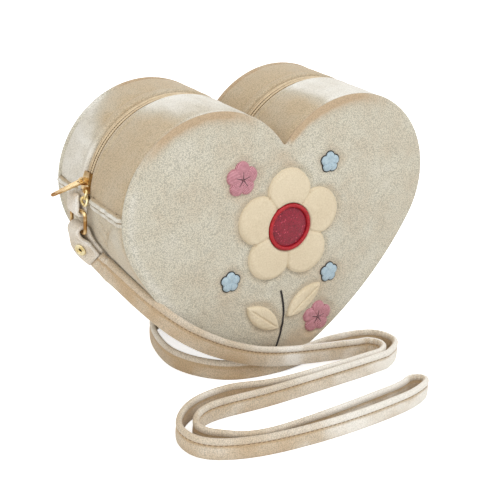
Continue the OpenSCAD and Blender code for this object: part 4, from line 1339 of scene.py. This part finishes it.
def lay_patch(centre, reach, height, across=None, spokes=160, rings=14, hole=0.0):
    """Points, faces and across values of a padded patch. reach(a) is its radius in a direction,
    height(x, z, edge) its thickness at a distance from its edge, across(x, z) the measure across its
    threads and hole the radius of its opening."""
    cx, cz = centre
    top, low, values = [], [], []
    for j in range(rings + 1):
        share = j / rings if hole else 1 - (1 - j / rings) ** 1.35
        for a in around(spokes):
            far = reach(a)
            r = max(0.02, hole + (far - hole) * share)
            edge = min(far - r, r - hole) if hole else far - r
            x, z = r * math.cos(a), r * math.sin(a)
            y = face_y(cx + x, cz + z)
            top.append((cx + x, y - height(x, z, edge), cz + z))
            low.append((cx + x, y + SUNK, cz + z))
            values.append(across(x, z) if across else 0.0)
    deep = len(top)
    faces = grid_faces(rings + 1, spokes, loop_columns=True)
    faces += [f[::-1] for f in grid_faces(rings + 1, spokes, deep, loop_columns=True)]
    for first in (0, rings * spokes):
        for k in range(spokes):
            a, b = first + k, first + (k + 1) % spokes
            side = [a, b, deep + b, deep + a]
            faces.append(side if first else side[::-1])
    return np.array(top + low), faces, values + [0.0] * deep


def edge_round(edge, radius):
    """The share of its full height that a padded edge has at a distance from its seam."""
    t = max(0.0, min(1.0, edge / radius))
    return math.sqrt(max(0.0, 1 - (1 - t) ** 2))


def patch_piece(name, parts, finish, slot, stands_for):
    points, faces, values = join_parts(parts)
    return make_piece(name, points, faces, finish, slot, stands_for, values={"across": values})


print("applique helper ready, face at the middle y = %.1f" % face_y(0, 90))

# %% [markdown]
# Five felt petals are one cut piece, quilted between the petals by stitched grooves. The centre is
# a low dome of glitter cloth inside a thick border of red satin stitch, whose threads run outwards.

# %% The big flower
def flower_reach(a):
    return petal_reach(a, PETAL_RING, PETAL_R)


def petal_height(x, z, edge):
    r, off = math.hypot(x, z), from_petal(math.atan2(z, x))
    groove = 0.75 * bell(r * math.sin(FIFTH / 2 - off), 0.9)
    from_middle = math.hypot(r * math.cos(off) - PETAL_RING, r * math.sin(off))
    pillow = 0.55 * max(0.0, 1 - (from_middle / PETAL_R) ** 2)
    seam = 0.42 * bell(edge - 1.5, 0.42)
    return (FELT_T - 0.35) * edge_round(edge, 1.0) + pillow - groove - seam + 0.08 * wobble(x, 0, z, 6, 50)


def dome_height(x, z, edge):
    return 0.4 + 2.25 * math.sqrt(max(0.0, 1 - (math.hypot(x, z) / (CENTRE_R + 1.5)) ** 2))


def satin_ring(centre, inner, outer, high, threads):
    """A closed ring of satin stitch, each thread a small ridge across it."""
    cx, cz = centre
    rings, values = [], []
    middle, half = (inner + outer) / 2, (outer - inner) / 2
    for a in around(threads * 4):
        ridge = 0.09 * math.cos(a * threads)
        ring = []
        for b in around(12):
            r = middle + (half + ridge) * math.cos(b)
            up = (high / 2 + ridge) * math.sin(b) + high / 2
            x, z = cx + r * math.cos(a), cz + r * math.sin(a)
            ring.append((x, face_y(x, z) - up + 0.2, z))
            values.append(a * middle)
        rings.append(ring)
    return (*tube(rings, closed=True), values)


petals = lay_patch(FLOWER, flower_reach, petal_height, spokes=300, rings=26, hole=CENTRE_R + BORDER_W + 0.05)
patch_piece("felt_petals", [petals], cream_felt, "cream_felt", ["flower_petals"])
centre = lay_patch(FLOWER, lambda a: CENTRE_R, dome_height, spokes=96, rings=16)
patch_piece("glitter_centre", [centre], red_glitter, "red_glitter", ["flower_centre"])
border = satin_ring(FLOWER, CENTRE_R + 0.1, CENTRE_R + BORDER_W, FELT_T + SATIN_T, threads=110)
patch_piece("satin_border", [border], red_satin, "red_satin", ["flower_border"])
print("big flower done")

# %% [markdown]
# Leaves are felt with a stitched vein, and the small blossoms are solid satin stitch whose threads
# run from the middle of each petal outwards. A leaf is described from its middle like the others.

# %% Leaves and blossoms
def leaf_point(root, turn, u, v=0.0):
    """X and Z of a point u mm along a leaf's vein and v mm beside it."""
    return (root[0] + u * math.cos(turn) - v * math.sin(turn),
            root[1] + u * math.sin(turn) + v * math.cos(turn))


def leaf_patch(root, turn):
    drop = LEAF_R - LEAF_W / 2

    def reach(a):
        v = drop * abs(math.sin(a - turn))
        return math.sqrt(max(0.0, v * v + LEAF_R ** 2 - drop * drop)) - v

    def height(x, z, edge):
        u, v = on_leaf(x, z, turn)
        vein = 0.75 * bell(v, 0.6) * soft_step(LEAF_L / 2 - abs(u), 1.5, 5)
        side = 0.22 * bell((abs(v) * 1.2 - u) % 4.6 - 2.3, 0.55) * soft_step(abs(v), 0.6, 1.6)
        return (FELT_T - 0.4) * edge_round(edge, 1.1) + 0.25 * edge_round(edge, 5) - vein - side

    return lay_patch(leaf_point(root, turn, LEAF_L / 2), reach, height, spokes=200, rings=20)


def blossom_reach(a, r):
    return petal_reach(a, RING_SHARE * r, PETAL_SHARE * r)


def blossom(centre, r):
    def height(x, z, edge):
        q, off = math.hypot(x, z), from_petal(math.atan2(z, x))
        groove = 0.30 * bell(q * math.sin(FIFTH / 2 - off), 0.05 * r) * soft_step(q, 0.1 * r, 0.3 * r)
        dip = 0.35 * bell(q, 0.16 * r)
        return SATIN_T * edge_round(edge, 0.10 * r) + 0.35 * edge_round(edge, 0.4 * r) - groove - dip

    def across(x, z):
        turn = (math.atan2(z, x) - math.pi / 2 + FIFTH / 2) % FIFTH - FIFTH / 2
        return math.hypot(x, z) * math.sin(turn)

    return lay_patch(centre, lambda a: blossom_reach(a, r), height, across, spokes=180, rings=16)


leaves = [leaf_patch(*leaf) for leaf in LEAVES]
patch_piece("felt_leaves", leaves, cream_felt, "cream_felt", ["leaves"])
for word, spots, r, finish in (("pink", PINK_SPOTS, PINK_R, pink_satin),
                               ("blue", BLUE_SPOTS, BLUE_R, blue_satin)):
    patch_piece(word + "_satin_blossoms", [blossom(p, r) for p in spots], finish, word + "_satin",
                [word + "_blossoms"])
print("leaves and blossoms done")

# %% [markdown]
# Stitches are the same small thing hundreds of times, so Geometry Nodes lays them. The tree takes a
# mesh of plain edges, turns it into a curve, sets points along it at a chosen spacing, and puts a
# short rounded stitch on each point, turned along the seam. The result is made real and given its
# material in the tree, because an export leaves instances out, and is then kept as a plain mesh.

# %% A tree that sews
def sewing_tree():
    tree = bpy.data.node_groups.new("sew", "GeometryNodeTree")
    face = tree.interface
    face.new_socket("Seam", in_out="INPUT", socket_type="NodeSocketGeometry")
    for name, value in (("Spacing", 0.003), ("Stitch length", 0.0022), ("Stitch radius", 0.0003)):
        face.new_socket(name, in_out="INPUT", socket_type="NodeSocketFloat").default_value = value
    face.new_socket("Thread", in_out="INPUT", socket_type="NodeSocketMaterial")
    face.new_socket("Stitches", in_out="OUTPUT", socket_type="NodeSocketGeometry")
    given = tree.nodes.new("NodeGroupInput").outputs

    def step(kind, output, inputs=None, **settings):
        return add_node(tree, kind, inputs, **settings).outputs[output]

    curve = step("GeometryNodeMeshToCurve", "Curve", {"Mesh": given["Seam"]})
    spaced = step("GeometryNodeResampleCurve", "Curve", {"Curve": curve, "Length": given["Spacing"]},
                  mode="LENGTH")
    stitch = step("GeometryNodeMeshIcoSphere", "Mesh", {"Radius": 1, "Subdivisions": 2})
    half = step("ShaderNodeMath", "Value", {0: given["Stitch length"], 1: 0.5}, operation="MULTIPLY")
    radius = given["Stitch radius"]
    size = step("ShaderNodeCombineXYZ", "Vector", {"X": half, "Y": radius, "Z": radius})
    way = step("GeometryNodeInputTangent", "Tangent")
    turn = step("FunctionNodeAlignRotationToVector", "Rotation", {"Vector": way}, axis="X")
    laid = step("GeometryNodeInstanceOnPoints", "Instances",
                {"Points": spaced, "Instance": stitch, "Rotation": turn, "Scale": size})
    real = step("GeometryNodeRealizeInstances", "Geometry", {"Geometry": laid})
    smooth = step("GeometryNodeSetShadeSmooth", "Geometry", {"Geometry": real})
    paint = step("GeometryNodeSetMaterial", "Geometry", {"Geometry": smooth, "Material": given["Thread"]})
    add_node(tree, "NodeGroupOutput", {"Stitches": paint})
    return tree


sewing = sewing_tree()


def sew(name, seams, spacing, length, radius, finish, slot, stands_for=()):
    """Stitches along seams, each a list of points in mm. A closed seam repeats its first point."""
    points, edges = [], []
    for seam in seams:
        first = len(points)
        closed = math.dist(seam[0], seam[-1]) < 1e-6
        kept = seam[:-1] if closed else seam
        points += [tuple(c * MM for c in p) for p in kept]
        edges += [(first + k, first + k + 1) for k in range(len(kept) - 1)]
        if closed:
            edges.append((first + len(kept) - 1, first))
    mesh = bpy.data.meshes.new(name)
    mesh.from_pydata(points, edges, [])
    piece = linked(name, mesh)
    modifier = piece.modifiers.new("sew", "NODES")
    modifier.node_group = sewing
    given = {"Spacing": spacing * MM, "Stitch length": length * MM, "Stitch radius": radius * MM,
             "Thread": finish}
    for item in sewing.interface.items_tree:
        if item.name in given:
            modifier[item.identifier] = given[item.name]
    sewn = applied(piece)
    if not sewn.materials:
        sewn.materials.append(finish)
    settle(piece, slot, stands_for)


print("sewing tree has", len(sewing.nodes), "nodes")

# %% [markdown]
# The seams that show: the line under the strap's piped edge, the outline and the grooves of the
# felt, the veins and edges of the leaves, a black outline round the blue blossoms, small knots in the
# pink ones, and the stem, which is two close rows of black thread.

# %% Stitches
def on_face(x, z, lift):
    return (x, face_y(x, z) - lift, z)


def ring_seam(centre, reach, inset, lift, steps=180):
    seam = []
    for a in around(steps):
        r = reach(a) - inset
        seam.append(on_face(centre[0] + r * math.cos(a), centre[1] + r * math.sin(a), lift))
    return seam + seam[:1]


def spoke(centre, a, start, end, count, lift):
    """A straight seam from a middle outwards, between two distances."""
    return [on_face(centre[0] + r * math.cos(a), centre[1] + r * math.sin(a), lift)
            for r in np.linspace(start, end, count)]


strap_seam = [tuple(strap_line[i] + 2.75 * strap_frame[i, 0] + 1.12 * strap_frame[i, 1])
              for i in range(2, len(strap_line) - 2)]
sew("strap_stitches", [strap_seam], 3.0, 2.1, 0.3, tan_thread, "strap_velvet")

petal_ways = [math.pi / 2 + k * FIFTH for k in range(5)]
flower_seams = [ring_seam(FLOWER, flower_reach, 1.5, 1.5)]
flower_seams += [spoke(FLOWER, a + FIFTH / 2, CENTRE_R + BORDER_W + 0.8, 24.0, 12, 1.25) for a in petal_ways]
sew("felt_stitches", flower_seams, 2.0, 1.4, 0.2, cream_thread, "cream_felt")

leaf_seams = []
for leaf in LEAVES:
    leaf_seams.append([on_face(*leaf_point(*leaf, u), 1.35) for u in np.linspace(3, LEAF_L - 3, 30)])
    for side in (1, -1):
        leaf_seams.append([on_face(*leaf_point(*leaf, u, side * (leaf_half(u) - 1.2)), 1.8)
                           for u in np.linspace(4, LEAF_L - 4, 30)])
sew("leaf_stitches", leaf_seams, 2.0, 1.4, 0.2, cream_thread, "cream_felt")

outlines = [ring_seam(p, lambda a: blossom_reach(a, BLUE_R), -0.25, 0.3, 120) for p in BLUE_SPOTS]
sew("blue_outlines", outlines, 0.75, 1.1, 0.34, black_thread, "black_thread")

knots = [spoke(p, a, 0.8, 4.4, 6, 1.15) for p in PINK_SPOTS for a in petal_ways]
sew("pink_knots", knots, 0.7, 1.0, 0.24, black_thread, "black_thread")

STEM_R, STEM_HALF_W = 2 * LEAF_L, 0.32
stem_x, stem_z = FLOWER[0] - STEM_R, FLOWER[1] - STEM_R
stem_seams = [[on_face(stem_x + r * math.cos(a), stem_z + r * math.sin(a), 0.25)
               for a in np.radians(np.linspace(-20, 18, 60))]
              for r in (STEM_R - STEM_HALF_W, STEM_R + STEM_HALF_W)]
sew("stem_stitches", stem_seams, 0.9, 1.3, 0.36, black_thread, "black_thread", ["stems"])
print("stitches done")

# %% [markdown]
# The metal parts are rigid, and their CAD shapes are right, so they stay and only get their finish.

# %% Metal parts
for node in ("zip_slider", "zip_puller", "left_ring", "right_ring", "zip_stops"):
    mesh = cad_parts[node].data
    mesh.materials.clear()
    mesh.materials.append(gold)
print("metal parts finished")

# %% [markdown]
# The floor is plain and nearly white, so that it meets the white background without an edge and
# keeps a soft shadow under the purse. The world is white to the camera and in reflections, and a
# plain soft light for the rest. Three large lamps give the forms their gentle light and dark.

# %% Floor, world and lamps
FLOOR_HALF, AIM = 6, (0, 0, 0.08)

floor_mesh = bpy.data.meshes.new("floor")
floor_corners = [(x * FLOOR_HALF, y * FLOOR_HALF, 0) for x, y in ((-1, -1), (1, -1), (1, 1), (-1, 1))]
floor_mesh.from_pydata(floor_corners, [], [(0, 1, 2, 3)])
floor = linked("floor", floor_mesh)
paper = Finish("paper", 0.9)
give(paper.shader, {"Base Color": grey(0.95), "Specular IOR Level": 0})
plain = paper.shader.outputs[0]
glow = paper.add("Emission", {"Strength": 0.7}).outputs[0]
both = paper.add("AddShader", {0: plain, 1: glow}).outputs[0]
eye = paper.add("LightPath").outputs["Is Camera Ray"]
chosen = paper.add("MixShader", {0: eye, 1: plain, 2: both}).outputs[0]
give(paper.tree.nodes["Material Output"], {"Surface": chosen})
floor_mesh.materials.append(paper.material)

world = bpy.data.worlds.new("studio")
world.use_nodes = True
bpy.context.scene.world = world
sky = world.node_tree
sky.nodes.clear()
soft = add_node(sky, "ShaderNodeBackground", {"Color": (1, 0.99, 0.97, 1), "Strength": 0.66}).outputs[0]
white = add_node(sky, "ShaderNodeBackground", {"Color": grey(1), "Strength": 1}).outputs[0]
rays = add_node(sky, "ShaderNodeLightPath").outputs
seen = rays["Is Camera Ray"]
for kind in ("Is Glossy Ray", "Is Transmission Ray"):
    seen = add_node(sky, "ShaderNodeMath", {0: seen, 1: rays[kind]}, operation="MAXIMUM").outputs[0]
blend = add_node(sky, "ShaderNodeMixShader", {0: seen, 1: soft, 2: white}).outputs[0]
add_node(sky, "ShaderNodeOutputWorld", {"Surface": blend})


def lamp(name, at, size, power):
    made = linked(name, bpy.data.lights.new(name, "AREA"))
    made.data.shape = "DISK"
    made.data.size = size
    made.data.energy = power
    made.location = at
    made.rotation_euler = (Vector(AIM) - Vector(at)).to_track_quat("-Z", "Y").to_euler()


lamp("key", (0.3, -0.8, 1.3), 1.0, 8.5)
lamp("fill", (-1.1, -0.4, 0.6), 1.0, 3.0)
lamp("back", (0.5, 1.2, 0.4), 1.0, 4.5)
bpy.context.scene.view_settings.view_transform = "Standard"
print("stage ready")

# %% Finish
bpy.context.view_layer.update()
